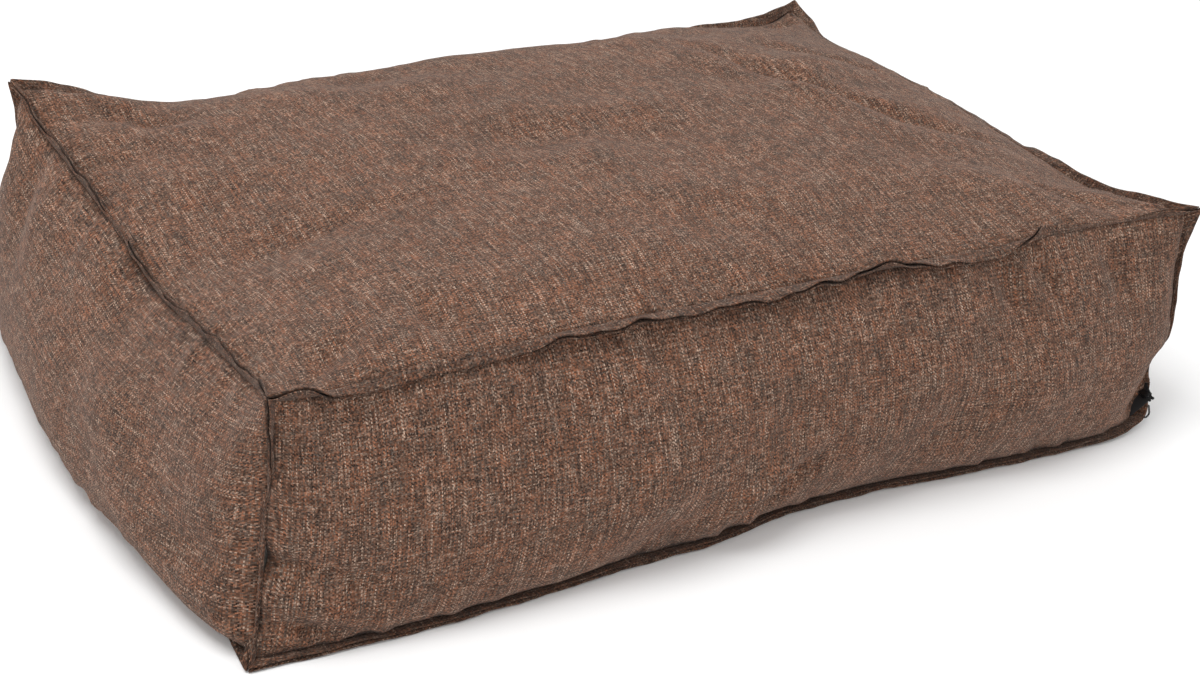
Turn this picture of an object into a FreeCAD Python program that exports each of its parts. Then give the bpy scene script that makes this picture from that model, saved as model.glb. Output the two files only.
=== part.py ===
# Pet cushion bed: a boxy, loosely filled floor cushion in a zipped, removable cover.
#
# Frame, in millimetres: +X along the long side, +Y to the back, +Z up. The origin is the middle
# of the footprint, at floor level. The front is the long side at -Y. The zip closes the lower
# edge of the short side at +X, and its slider rests at the front end, where the zip is closed.
import FreeCAD, Part
import math
import os

import Sketcher
from FreeCAD import Placement, Rotation, Vector

doc = FreeCAD.newDocument("pet_cushion_bed")

# ---------------------------------------------------------------------------------------------
# Driving dimensions
# ---------------------------------------------------------------------------------------------
sheet = doc.addObject("Spreadsheet::Sheet", "Sheet")

DIMENSIONS = [
    # the cover is narrower between its four upper ears than along its lower seams
    ("ear_length", "950"),
    ("ear_width", "666"),
    ("ear_height", "236"),
    ("base_length", "1000"),
    ("base_width", "712"),
    # cover cloth and the flanged seams, which stand out as a doubled lip
    ("cloth", "3"),
    ("gap", "0.4"),
    ("mitre_gap", "1.2"),
    ("flange_width", "11"),
    ("flange_thick", "2.4"),
    ("flange_root", "1.6"),
    ("flange_reach", "=flange_width * 0.70711"),
    ("ear_trim", "9"),
    # how far each seam swings in from the straight line between its two ears
    ("bow_long", "20"),
    ("sag_long", "12"),
    ("bow_short", "12"),
    ("sag_short", "42"),
    ("bow_corner", "12"),
    # height of the crown, and how far the sides belly out, lowest where the filling settles
    ("crown_height", "262"),
    ("belly_long", "53"),
    ("belly_short", "75"),
    ("belly_lean", "0.75"),
    # seam corners, derived
    ("top_x", "=ear_length / 2 - flange_reach"),
    ("top_y", "=ear_width / 2 - flange_reach"),
    ("top_z", "=ear_height - flange_reach"),
    ("low_x", "=base_length / 2 - flange_width"),
    ("low_y", "=base_width / 2 - flange_width"),
    ("low_z", "=cloth + gap"),
    # chord, swing at half way and radius of each kind of curved seam
    ("chord_long", "=2 * top_x"),
    ("swing_long", "=sqrt(bow_long ^ 2 + sag_long ^ 2)"),
    ("radius_long", "=(chord_long ^ 2 / 4 + swing_long ^ 2) / (2 * swing_long)"),
    ("chord_short", "=2 * top_y"),
    ("swing_short", "=sqrt(bow_short ^ 2 + sag_short ^ 2)"),
    ("radius_short", "=(chord_short ^ 2 / 4 + swing_short ^ 2) / (2 * swing_short)"),
    ("swing_corner", "=bow_corner * 1.41421"),
    # stitching thread
    ("thread_width", "0.9"),
    ("thread_height", "0.4"),
    ("thread_lift", "0.05"),
    # zip: the tapes lie in a plane that faces down and out
    ("zip_tilt", "20"),
    ("tape_outer", "15"),
    ("tape_inner", "1"),
    ("tape_thick", "0.8"),
    ("zip_margin", "14"),
    ("zip_x", "=low_x - tape_outer * cos(zip_tilt)"),
    ("zip_z", "33"),
    ("zip_length", "=base_width - 2 * zip_margin"),
    ("coil_radius", "1.15"),
    ("coil_offset", "2"),
    ("coil_depth", "1.6"),
    ("stop_length", "3"),
    # slider: two wings joined by a post, with a bridge that holds the pull
    ("slider_length", "12"),
    ("slider_half_width", "4.8"),
    ("slider_wall", "1.2"),
    ("channel_low", "3"),
    ("channel_high", "0.7"),
    ("post_half_width", "0.55"),
    ("bridge_half_width", "1.2"),
    ("bridge_span", "7"),
    ("bridge_leg", "1.1"),
    ("bridge_gap", "2.7"),
    ("bridge_beam", "1"),
    ("slider_inset", "24"),
    # pull: an eye round the bridge, a neck and an open oval ring
    ("pull_thick", "1.2"),
    ("pull_length", "26.5"),
    ("eye_half_width", "2.8"),
    ("eye_hole_half_width", "1.6"),
    ("eye_bar", "0.95"),
    ("eye_depth", "5.8"),
    ("neck_end", "13"),
    ("ring_half_width", "5"),
    ("ring_wire", "1.7"),
    ("ring_length", "17"),
    # underside: flat on the floor, then curving up to the zip
    ("rise_start", "350"),
    ("rise_end", "=zip_x - tape_outer * cos(zip_tilt) - gap"),
    ("rise_height", "=zip_z - tape_outer * sin(zip_tilt)"),
    ("rise_radius", "=((rise_end - rise_start) ^ 2 + rise_height ^ 2) / (2 * rise_height)"),
    ("ear_slope", "20"),
    ("zip_dip", "3"),
    # inner cushion: its cloth, its rounded corners and the height where its halves meet
    ("case_cloth", "2"),
    ("case_round", "70"),
    ("case_split", "110"),
]

for row, (alias, content) in enumerate(DIMENSIONS, start=1):
    sheet.set("A%d" % row, alias)
    sheet.set("B%d" % row, content)
    sheet.setAlias("B%d" % row, alias)
doc.recompute()


def value(alias):
    """A driving dimension, as a plain number."""
    return float(getattr(sheet, alias))


parts = {}


def keep(node, item):
    """Give a finished sub-part the name of its node."""
    item.Label = node
    parts[node] = item
    return item


# ---------------------------------------------------------------------------------------------
# Helpers for bodies and sketches
# ---------------------------------------------------------------------------------------------
def new_body(name):
    return doc.addObject("PartDesign::Body", name)


def new_sketch(body, name, role, offset=None):
    """A sketch on one of the body's own planes; offset is an expression along its normal."""
    sketch = body.newObject("Sketcher::SketchObject", name)
    plane = [f for f in body.Origin.OriginFeatures if f.Role == role][0]
    sketch.AttachmentSupport = [(plane, "")]
    sketch.MapMode = "FlatFace"
    if offset is not None:
        sketch.setExpression("AttachmentOffset.Base.z", offset)
    return sketch


def number(expression):
    """The value of an expression in the sheet's aliases, through the document's own engine."""
    return float(sheet.evalExpression(expression.replace("Sheet.", "")))


def pin_point(sketch, geometry, end, point):
    """Fix one end of a line or arc at a pair of expressions."""
    for kind, expression in zip(("DistanceX", "DistanceY"), point):
        index = sketch.addConstraint(
            Sketcher.Constraint(kind, -1, 1, geometry, end, number(expression))
        )
        sketch.setExpression("Constraints[%d]" % index, expression)


def join(sketch, first, second):
    """The second piece of an outline starts where the first one ends."""
    sketch.addConstraint(Sketcher.Constraint("Coincident", first, 2, second, 1))


def draw_polygon(sketch, points):
    """A closed outline of straight lines through pairs of expressions."""
    spots = [Vector(number(a), number(b), 0) for a, b in points]
    lines = []
    for here, there in zip(spots, spots[1:] + spots[:1]):
        lines.append(sketch.addGeometry(Part.LineSegment(here, there), False))
    for line, following in zip(lines, lines[1:] + lines[:1]):
        join(sketch, line, following)
    for line, point in zip(lines, points):
        pin_point(sketch, line, 1, point)


def draw_stadium(sketch, half_width, low, high):
    """A slot with round ends, centred on the sketch's upright axis; sizes are expressions."""
    w, a, b = number(half_width), number(low), number(high)
    right = sketch.addGeometry(Part.LineSegment(Vector(w, a + w, 0), Vector(w, b - w, 0)), False)
    top = sketch.addGeometry(
        Part.Arc(Vector(w, b - w, 0), Vector(0, b, 0), Vector(-w, b - w, 0)), False)
    left = sketch.addGeometry(Part.LineSegment(Vector(-w, b - w, 0), Vector(-w, a + w, 0)), False)
    bottom = sketch.addGeometry(
        Part.Arc(Vector(-w, a + w, 0), Vector(0, a, 0), Vector(w, a + w, 0)), False)
    for first, second in ((right, top), (top, left), (left, bottom), (bottom, right)):
        join(sketch, first, second)
    minus = "-(%s)" % half_width
    pin_point(sketch, right, 1, (half_width, "%s + %s" % (low, half_width)))
    pin_point(sketch, right, 2, (half_width, "%s - %s" % (high, half_width)))
    pin_point(sketch, left, 1, (minus, "%s - %s" % (high, half_width)))
    pin_point(sketch, left, 2, (minus, "%s + %s" % (low, half_width)))
    # the ends fix each half circle but for its middle, which stays level with them
    for arc, level in ((top, "%s - %s" % (high, half_width)),
                       (bottom, "%s + %s" % (low, half_width))):
        index = sketch.addConstraint(
            Sketcher.Constraint("DistanceY", -1, 1, arc, 3, number(level)))
        sketch.setExpression("Constraints[%d]" % index, level)


def signed(sign, size):
    """A size as an expression, with a minus sign on the negative side."""
    return size if sign > 0 else "-(%s)" % size


def draw_rounded_box(sketch, half_x, half_y, radius):
    """A rectangle with round corners, centred on the origin; sizes are expressions."""
    x, y, r = number(half_x), number(half_y), number(radius)
    cut = r * (1 - math.sqrt(0.5))
    pieces = []
    corners = [(1, -1), (1, 1), (-1, 1), (-1, -1)]
    for sx, sy in corners:
        # each round corner starts on the side before it, going anticlockwise
        on_x = Vector(sx * (x - r), sy * y, 0)
        on_y = Vector(sx * x, sy * (y - r), 0)
        middle = Vector(sx * (x - cut), sy * (y - cut), 0)
        start, end = (on_x, on_y) if sx * sy < 0 else (on_y, on_x)
        pieces.append((start, middle, end))
    arcs = [sketch.addGeometry(Part.Arc(a, m, b), False) for a, m, b in pieces]
    for i, arc in enumerate(arcs):
        following = (i + 1) % 4
        line = sketch.addGeometry(
            Part.LineSegment(pieces[i][2], pieces[following][0]), False)
        join(sketch, arc, line)
        join(sketch, line, arcs[following])
    for (sx, sy), arc in zip(corners, arcs):
        on_x = (signed(sx, "(%s - %s)" % (half_x, radius)), signed(sy, half_y))
        on_y = (signed(sx, half_x), signed(sy, "(%s - %s)" % (half_y, radius)))
        start, end = (on_x, on_y) if sx * sy < 0 else (on_y, on_x)
        pin_point(sketch, arc, 1, start)
        pin_point(sketch, arc, 2, end)
        index = sketch.addConstraint(Sketcher.Constraint("Radius", arc, r))
        sketch.setExpression("Constraints[%d]" % index, radius)


def pad(body, sketch, length, symmetric=False, backwards=False):
    """Pad a sketch by an expression; backwards pads against the sketch's normal."""
    feature = body.newObject("PartDesign::Pad", sketch.Name + "_pad")
    feature.Profile = sketch
    feature.setExpression("Length", length)
    feature.SideType = "Symmetric" if symmetric else "One side"
    feature.Reversed = backwards
    return feature


def pocket_through(body, sketch):
    """Cut a sketch through the body on both sides of its plane."""
    before = body.Shape.Volume
    feature = body.newObject("PartDesign::Pocket", sketch.Name + "_pocket")
    feature.Profile = sketch
    feature.Type = "ThroughAll"
    feature.SideType = "Symmetric"
    doc.recompute()
    if feature.Shape.Volume >= before:
        raise SystemExit("%s cuts nothing" % feature.Name)
    return feature


# ---------------------------------------------------------------------------------------------
# Seam lines
# ---------------------------------------------------------------------------------------------
def top_corner(side_x, side_y):
    return Vector(side_x * value("top_x"), side_y * value("top_y"), value("top_z"))


def underside(x, lift):
    """Height of the underside at x, measured lift above the cloth that lies on the floor."""
    start, end, radius = value("rise_start"), value("rise_end"), value("rise_radius")
    inner = radius - lift
    if x <= start:
        return lift
    if x <= end:
        return radius - math.sqrt(inner ** 2 - (x - start) ** 2)
    slope = math.tan(math.radians(value("ear_slope")))
    return radius - math.sqrt(inner ** 2 - (end - start) ** 2) + (x - end) * slope


def low_corner(side_x, side_y):
    x = side_x * value("low_x")
    return Vector(x, side_y * value("low_y"), underside(x, value("low_z")))


def hanging(start, end, swing):
    """A seam between two ears: a shallow parabola that is off by swing at half way."""
    return lambda t: start + (end - start) * t + swing * (4 * t * (1 - t))


def along_floor(side_y):
    """The lower edge of a long side: on the floor, then rising with the underside."""
    def point(t):
        x = (2 * t - 1) * value("low_x")
        return Vector(x, side_y * value("low_y"), underside(x, value("low_z")))
    return point


def long_seam(side_y):
    swing = Vector(0, -side_y * value("bow_long"), -value("sag_long"))
    return hanging(top_corner(-1, side_y), top_corner(1, side_y), swing)


def short_seam(side_x):
    swing = Vector(-side_x * value("bow_short"), 0, -value("sag_short"))
    return hanging(top_corner(side_x, -1), top_corner(side_x, 1), swing)


def corner_seam(side_x, side_y):
    bow = value("bow_corner")
    swing = Vector(-side_x * bow, -side_y * bow, 0)
    return hanging(low_corner(side_x, side_y), top_corner(side_x, side_y), swing)


# ---------------------------------------------------------------------------------------------
# Cover panels: cut flat, but crowned by the filling, so each one is a doubly curved shell
# ---------------------------------------------------------------------------------------------
def patch(low, high, left, right, s, t):
    """A point of the surface that four edge curves span."""
    return (low(s) * (1 - t) + high(s) * t + left(t) * (1 - s) + right(t) * s
            - low(0) * ((1 - s) * (1 - t)) - low(1) * (s * (1 - t))
            - high(0) * ((1 - s) * t) - high(1) * (s * t))


def spread(count, margin):
    """Even parameters from margin to 1 - margin."""
    return [margin + (1 - 2 * margin) * i / (count - 1) for i in range(count)]


def panel_surface(edges, outward, bulge, lean, spans, depth, counts):
    """One face of a panel, depth under its outer face and mitred at its four edges. A lean
    under 1 brings the fullest part of the bulge nearer to the panel's first edge."""
    inset = value("mitre_gap") + depth
    rows = []
    for s in spread(counts[0], inset / spans[0]):
        row = []
        for t in spread(counts[1], inset / spans[1]):
            level = t ** lean
            rise = bulge * 16 * s * (1 - s) * level * (1 - level) - depth
            row.append(patch(*edges, s, t) + outward * rise)
        rows.append(row)
    surface = Part.BSplineSurface()
    surface.interpolate(rows)
    return surface


def rim(surface):
    """The four edges of a surface, in order round it."""
    u0, u1, v0, v1 = surface.bounds()
    return [surface.vIso(v0).toShape(), surface.uIso(u1).toShape(),
            surface.vIso(v1).toShape(), surface.uIso(u0).toShape()]


def make_panel(node, edges, outward, bulge, lean, spans, counts):
    """A panel of the cover as one closed solid between its outer and its inner face."""
    outer = panel_surface(edges, outward, bulge, lean, spans, 0, counts)
    inner = panel_surface(edges, outward, bulge, lean, spans, value("cloth"), counts)
    faces = [outer.toShape(), inner.toShape()]
    for outer_edge, inner_edge in zip(rim(outer), rim(inner)):
        faces.append(Part.makeRuledSurface(outer_edge, inner_edge))
    shell = Part.makeShell(faces)
    shell.sewShape()
    solid = Part.makeSolid(shell)
    if solid.Volume < 0:
        solid.reverse()
    feature = doc.addObject("Part::Feature", node)
    feature.Shape = solid
    feature.Placement = Placement()
    return keep(node, feature)


# How many points each panel's surface is fitted through, along its length and up its height.
TOP_POINTS, LONG_WALL_POINTS, SHORT_WALL_POINTS = (17, 13), (29, 11), (15, 11)


def make_panels():
    top_span = (2 * value("top_x"), 2 * value("top_y"))
    wall = value("top_z") - value("low_z")
    flat_middle = value("top_z") - value("sag_long") - value("sag_short")
    make_panel(
        "top_panel",
        (long_seam(-1), long_seam(1), short_seam(-1), short_seam(1)),
        Vector(0, 0, 1), value("crown_height") - flat_middle, 1, top_span, TOP_POINTS)
    for node, side in (("front_panel", -1), ("back_panel", 1)):
        edges = (along_floor(side), long_seam(side), corner_seam(-1, side), corner_seam(1, side))
        make_panel(node, edges, Vector(0, side, 0), value("belly_long"), value("belly_lean"),
                   (top_span[0], wall), LONG_WALL_POINTS)
    for node, side in (("left_panel", -1), ("right_panel", 1)):
        dip = value("zip_dip") if side > 0 else 0
        low_edge = hanging(low_corner(side, -1), low_corner(side, 1), Vector(0, 0, -dip))
        edges = (low_edge, short_seam(side), corner_seam(side, -1), corner_seam(side, 1))
        make_panel(node, edges, Vector(side, 0, 0), value("belly_short"), value("belly_lean"),
                   (top_span[1], wall), SHORT_WALL_POINTS)


# ---------------------------------------------------------------------------------------------
# Underside: a strip that lies on the floor and curves up to the zip at its +X end
# ---------------------------------------------------------------------------------------------
def make_underside_strip(name, lift, thick, near, far, to_ear):
    """Pad the side view of the strip from near to far along Y; all sizes are expressions."""
    body = new_body(name)
    sketch = new_sketch(body, name + "_side_view", "XZ_Plane", "-(%s)" % far)
    start, end, radius = "Sheet.rise_start", "Sheet.rise_end", "Sheet.rise_radius"
    back = "-(Sheet.low_x - Sheet.gap)"

    def height(offset, x="Sheet.rise_end"):
        inner = "(%s - (%s))" % (radius, offset)
        return "%s - sqrt(%s ^ 2 - (%s - %s) ^ 2)" % (radius, inner, x, start)

    under, over = lift, "%s + %s" % (lift, thick)
    outline = []
    for offset in (under, over):
        low = (back, offset)
        bend = (start, offset)
        high = (end, height(offset))
        outline.append((low, bend, high, "%s - (%s)" % (radius, offset)))

    def spot(point):
        return Vector(number(point[0]), number(point[1]), 0)

    def arc(bend, high, size):
        middle_x = (number(start) + number(end)) / 2
        size = number(size)
        middle_z = number(radius) - math.sqrt(size ** 2 - (middle_x - number(start)) ** 2)
        return Part.Arc(spot(bend), Vector(middle_x, middle_z, 0), spot(high))

    (low_a, bend_a, high_a, size_a), (low_b, bend_b, high_b, size_b) = outline
    chain = [sketch.addGeometry(Part.LineSegment(spot(low_a), spot(bend_a)), False),
             sketch.addGeometry(arc(bend_a, high_a, size_a), False)]
    pin_point(sketch, chain[0], 1, low_a)
    pin_point(sketch, chain[0], 2, bend_a)
    pin_point(sketch, chain[1], 2, high_a)
    radii = [(chain[1], size_a)]
    tip_a, tip_b = high_a, high_b
    if to_ear:
        # past the curve the strip runs on, straight, to the raised ear
        run = "(Sheet.low_x - %s)" % end
        climb = "%s * tan(Sheet.ear_slope)" % run
        tip_a = ("Sheet.low_x", "%s + %s" % (high_a[1], climb))
        tip_b = ("Sheet.low_x", "%s + %s" % (high_b[1], climb))
        chain.append(sketch.addGeometry(Part.LineSegment(spot(high_a), spot(tip_a)), False))
        pin_point(sketch, chain[-1], 2, tip_a)
    chain.append(sketch.addGeometry(Part.LineSegment(spot(tip_a), spot(tip_b)), False))
    pin_point(sketch, chain[-1], 2, tip_b)
    if to_ear:
        chain.append(sketch.addGeometry(Part.LineSegment(spot(tip_b), spot(high_b)), False))
        pin_point(sketch, chain[-1], 2, high_b)
    chain.append(sketch.addGeometry(arc(bend_b, high_b, size_b), False))
    upper_arc = chain[-1]
    radii.append((upper_arc, size_b))
    chain.append(sketch.addGeometry(Part.LineSegment(spot(bend_b), spot(low_b)), False))
    pin_point(sketch, chain[-1], 1, bend_b)
    pin_point(sketch, chain[-1], 2, low_b)
    chain.append(sketch.addGeometry(Part.LineSegment(spot(low_b), spot(low_a)), False))
    for first, second in zip(chain, chain[1:] + chain[:1]):
        # the two concave arcs run from the bend up to the zip, whichever way round we go
        first_end = 1 if first == upper_arc else 2
        second_start = 2 if second == upper_arc else 1
        sketch.addConstraint(
            Sketcher.Constraint("Coincident", first, first_end, second, second_start))
    for arc_index, size in radii:
        index = sketch.addConstraint(Sketcher.Constraint("Radius", arc_index, number(size)))
        sketch.setExpression("Constraints[%d]" % index, size)
    pad(body, sketch, "(%s) - (%s)" % (far, near))
    return body


def make_underside():
    inner = "(Sheet.low_y - Sheet.gap)"
    keep("bottom_panel",
         make_underside_strip("bottom_panel", "0", "Sheet.cloth", "-" + inner, inner, False))
    near, far = "(Sheet.low_y + Sheet.gap)", "(Sheet.base_width / 2)"
    thread_low = "(Sheet.base_width / 2 - Sheet.flange_width / 2)"
    thread_high = "(%s + Sheet.thread_width)" % thread_low
    thread_lift = "(Sheet.flange_thick + Sheet.thread_lift)"
    threads = []
    for side in ("front", "back"):
        lip_range, thread_range = (near, far), (thread_low, thread_high)
        if side == "front":
            lip_range = ("-" + far, "-" + near)
            thread_range = ("-" + thread_high, "-" + thread_low)
        keep("flange_bottom_" + side, make_underside_strip(
            "flange_bottom_" + side, "0", "Sheet.flange_thick", *lip_range, True))
        threads.append(make_underside_strip(
            "thread_bottom_" + side, thread_lift, "Sheet.thread_height", *thread_range, True))
    # the left edge lies straight on the floor
    threads.append(make_left_edge("thread_bottom_left", thread_lift, "Sheet.thread_height",
                                  "-(Sheet.base_length / 2 - Sheet.flange_width / 2)",
                                  "Sheet.thread_width"))
    keep("flange_bottom_left", make_left_edge(
        "flange_bottom_left", "0", "Sheet.flange_thick", "-(Sheet.base_length / 2)",
        "(Sheet.flange_width - Sheet.gap)"))
    return threads


def make_left_edge(name, low, thick, from_x, across):
    box = doc.addObject("Part::Box", name)
    box.setExpression("Length", across)
    box.setExpression("Width", "2 * Sheet.low_y")
    box.setExpression("Height", thick)
    box.Placement = Placement(
        Vector(number(from_x), -value("low_y"), number(low)), Rotation())
    return box


# ---------------------------------------------------------------------------------------------
# Flanged seams between the ears: a doubled lip swept along the arc that the seam hangs in
# ---------------------------------------------------------------------------------------------
def seam_frame(start, end, swing, outward):
    """Placement with X along the chord and Y against the swing, and the lip's angle in it."""
    along = (end - start).normalize()
    away = (along * swing.dot(along) - swing).normalize()
    across = along.cross(away)
    matrix = FreeCAD.Matrix(
        along.x, away.x, across.x, start.x,
        along.y, away.y, across.y, start.y,
        along.z, away.z, across.z, start.z,
        0, 0, 0, 1)
    angle = math.degrees(math.atan2(outward.dot(across), outward.dot(away)))
    return Placement(matrix), angle


def make_seam_pipe(name, chord, swing, radius, angle, reach, thick):
    """Sweep a rectangle along an arc. reach and thick are pairs of expressions, in the lip's
    own directions: outwards from the seam and through the lip."""
    body = new_body(name)
    path = new_sketch(body, name + "_path", "XY_Plane")
    c, s, r = number(chord), number(swing), number(radius)
    trim = "Sheet.ear_trim"
    edge = "%s - %s - sqrt(%s ^ 2 - (%s / 2 - %s) ^ 2)" % (radius, swing, radius, chord, trim)
    first = Vector(number(trim), number(edge), 0)
    last = Vector(c - number(trim), number(edge), 0)
    arc = path.addGeometry(Part.Arc(first, Vector(c / 2, -s, 0), last), False)
    pin_point(path, arc, 1, (trim, edge))
    pin_point(path, arc, 2, ("%s - %s" % (chord, trim), edge))
    index = path.addConstraint(Sketcher.Constraint("Radius", arc, r))
    path.setExpression("Constraints[%d]" % index, radius)

    profile = new_sketch(body, name + "_section", "YZ_Plane", trim)
    turn = "(%.4f deg)" % angle
    points = []
    for a, b in ((reach[0], thick[0]), (reach[1], thick[0]),
                 (reach[1], thick[1]), (reach[0], thick[1])):
        points.append(("%s + (%s) * cos%s - (%s) * sin%s" % (edge, a, turn, b, turn),
                       "(%s) * sin%s + (%s) * cos%s" % (a, turn, b, turn)))
    draw_polygon(profile, points)
    doc.recompute()
    pipe = body.newObject("PartDesign::AdditivePipe", name + "_pipe")
    pipe.Profile = profile
    pipe.Spine = (path, ["Edge1"])
    return body


def make_hanging_flanges():
    """The lips of the four top seams and the four corner seams, and the thread on each."""
    lip_reach = ("Sheet.flange_root", "Sheet.flange_width")
    lip_thick = ("-Sheet.flange_thick / 2", "Sheet.flange_thick / 2")
    thread_reach = ("Sheet.flange_width / 2", "Sheet.flange_width / 2 + Sheet.thread_width")
    over = "Sheet.flange_thick / 2 + Sheet.thread_lift"
    thread_thick = (over, over + " + Sheet.thread_height")
    bow_long, sag_long = value("bow_long"), value("sag_long")
    bow_short, sag_short = value("bow_short"), value("sag_short")
    bow_corner = value("bow_corner")
    seams = []
    for side, end in (("front", -1), ("back", 1)):
        seams.append(("top_" + side, top_corner(-1, end), top_corner(1, end),
                      Vector(0, -end * bow_long, -sag_long), Vector(0, end, 1), "long"))
    for side, end in (("left", -1), ("right", 1)):
        seams.append(("top_" + side, top_corner(end, -1), top_corner(end, 1),
                      Vector(-end * bow_short, 0, -sag_short), Vector(end, 0, 1), "short"))
    for depth, end_y in (("front", -1), ("back", 1)):
        for side, end_x in (("left", -1), ("right", 1)):
            seams.append(("corner_%s_%s" % (depth, side), low_corner(end_x, end_y),
                          top_corner(end_x, end_y),
                          Vector(-end_x * bow_corner, -end_y * bow_corner, 0),
                          Vector(end_x, end_y, 0), "corner"))
    threads = []
    for name, start, end, swing, outward, kind in seams:
        placement, angle = seam_frame(start, end, swing, outward.normalize())
        chord, bend = "Sheet.chord_" + kind, "Sheet.radius_" + kind
        if kind == "corner":
            # a corner seam's chord depends on how high its lower ear stands
            chord = "(%.3f)" % (end - start).Length
            bend = "((%s ^ 2 / 4 + Sheet.swing_corner ^ 2) / (2 * Sheet.swing_corner))" % chord
        swing_size = "Sheet.swing_" + kind
        lip = make_seam_pipe("flange_" + name, chord, swing_size, bend, angle,
                             lip_reach, lip_thick)
        lip.Placement = placement
        keep("flange_" + name, lip)
        thread = make_seam_pipe("thread_" + name, chord, swing_size, bend, angle,
                                thread_reach, thread_thick)
        thread.Placement = placement
        threads.append(thread)
    return threads


# ---------------------------------------------------------------------------------------------
# Inner cushion: a plain bag in two halves, and its loose filling
# ---------------------------------------------------------------------------------------------
# Half sizes of the cushion's outline at five heights, one above the other.
CASE_LEVELS = [
    # height, half length, half width
    (7, 335, 285),
    (48, 442, 308),
    (150, 446, 306),
    (184, 406, 266),
    (222, 250, 130),
]


def make_cushion_loft(name, inset):
    """A lofted cushion, inset all round by an expression."""
    body = new_body(name)
    sections = []
    last = len(CASE_LEVELS) - 1
    for level, (height, half_x, half_y) in enumerate(CASE_LEVELS):
        shift = {0: " + ", last: " - "}.get(level)
        offset = "%g" % height if shift is None else "%g%s%s" % (height, shift, inset)
        section = new_sketch(body, "%s_level_%d" % (name, level), "XY_Plane", offset)
        draw_rounded_box(section, "(%g - %s)" % (half_x, inset), "(%g - %s)" % (half_y, inset),
                         "Sheet.case_round")
        sections.append(section)
    doc.recompute()
    loft = body.newObject("PartDesign::AdditiveLoft", name + "_loft")
    loft.Profile = sections[0]
    loft.Sections = sections[1:]
    loft.Ruled = True
    return body


def make_inner_cushion():
    bag = make_cushion_loft("bag_outside", "0")
    hollow = make_cushion_loft("bag_inside", "Sheet.case_cloth")
    keep("filling", make_cushion_loft("filling", "(Sheet.case_cloth + Sheet.gap)"))
    wall = doc.addObject("Part::Cut", "bag_wall")
    wall.Base, wall.Tool = bag, hollow
    for node, low, high in (
            ("inner_case_bottom", "0", "Sheet.case_split - Sheet.gap / 2"),
            ("inner_case_top", "Sheet.case_split + Sheet.gap / 2", "Sheet.crown_height")):
        half = doc.addObject("Part::Box", node + "_space")
        half.setExpression("Length", "Sheet.base_length")
        half.setExpression("Width", "Sheet.base_width")
        half.setExpression("Height", "%s - (%s)" % (high, low))
        half.Placement = Placement(
            Vector(-value("base_length") / 2, -value("base_width") / 2, number(low)), Rotation())
        common = doc.addObject("Part::MultiCommon", node)
        common.Shapes = [wall, half]
        keep(node, common)


# ---------------------------------------------------------------------------------------------
# Zip: X across the tapes, Y along them and Z into the cover, turned to face down and out
# ---------------------------------------------------------------------------------------------
def zip_frame():
    return Placement(Vector(value("zip_x"), 0, value("zip_z")),
                     Rotation(Vector(0, 1, 0), -value("zip_tilt")))


def in_zip(x, y, z, turn=None):
    return zip_frame().multiply(Placement(Vector(x, y, z), turn or Rotation()))


def zip_block(name, size, at):
    """A box in the zip's frame; size holds expressions, at its lowest corner in numbers."""
    box = doc.addObject("Part::Box", name)
    for prop, expression in zip(("Length", "Width", "Height"), size):
        box.setExpression(prop, expression)
    box.Placement = in_zip(*at)
    return box


def make_zip_rows():
    half = value("zip_length") / 2
    tape = ("Sheet.tape_outer - Sheet.tape_inner", "Sheet.zip_length", "Sheet.tape_thick")
    stop = value("stop_length")
    coil_length = "Sheet.zip_length - 2 * Sheet.stop_length - 2 * Sheet.gap"
    upright = -value("tape_thick") / 2
    lay_along = Rotation(Vector(1, 0, 0), -90)
    for side, sign in (("upper", 1), ("lower", -1)):
        from_x = value("tape_inner") if sign > 0 else -value("tape_outer")
        keep("zip_tape_" + side,
             zip_block("zip_tape_" + side, tape, (from_x, -half, upright)))
        coil = doc.addObject("Part::Cylinder", "zip_coil_" + side)
        coil.setExpression("Radius", "Sheet.coil_radius")
        coil.setExpression("Height", coil_length)
        coil.Placement = in_zip(sign * value("coil_offset"), -half + stop + value("gap"),
                                -value("coil_depth"), lay_along)
        keep("zip_coil_" + side, coil)
    # one clamp on each row at the closed end, and one across both rows at the far end
    thick = "2 * Sheet.coil_radius"
    low = -value("coil_depth") - value("coil_radius")
    clamp = ("2 * Sheet.coil_radius", "Sheet.stop_length", thick)
    across = ("2 * (Sheet.coil_offset + Sheet.coil_radius)", "Sheet.stop_length", thick)
    near, reach = value("coil_offset") - value("coil_radius"), value("coil_offset")
    reach += value("coil_radius")
    stops = [zip_block("stop_upper", clamp, (near, -half, low)),
             zip_block("stop_lower", clamp, (-reach, -half, low)),
             zip_block("stop_far", across, (-reach, half - stop, low))]
    group = doc.addObject("Part::Compound", "zip_stops")
    group.Links = stops
    keep("zip_stops", group)


def slider_place():
    return in_zip(0, -value("base_width") / 2 + value("slider_inset"), 0)


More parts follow.
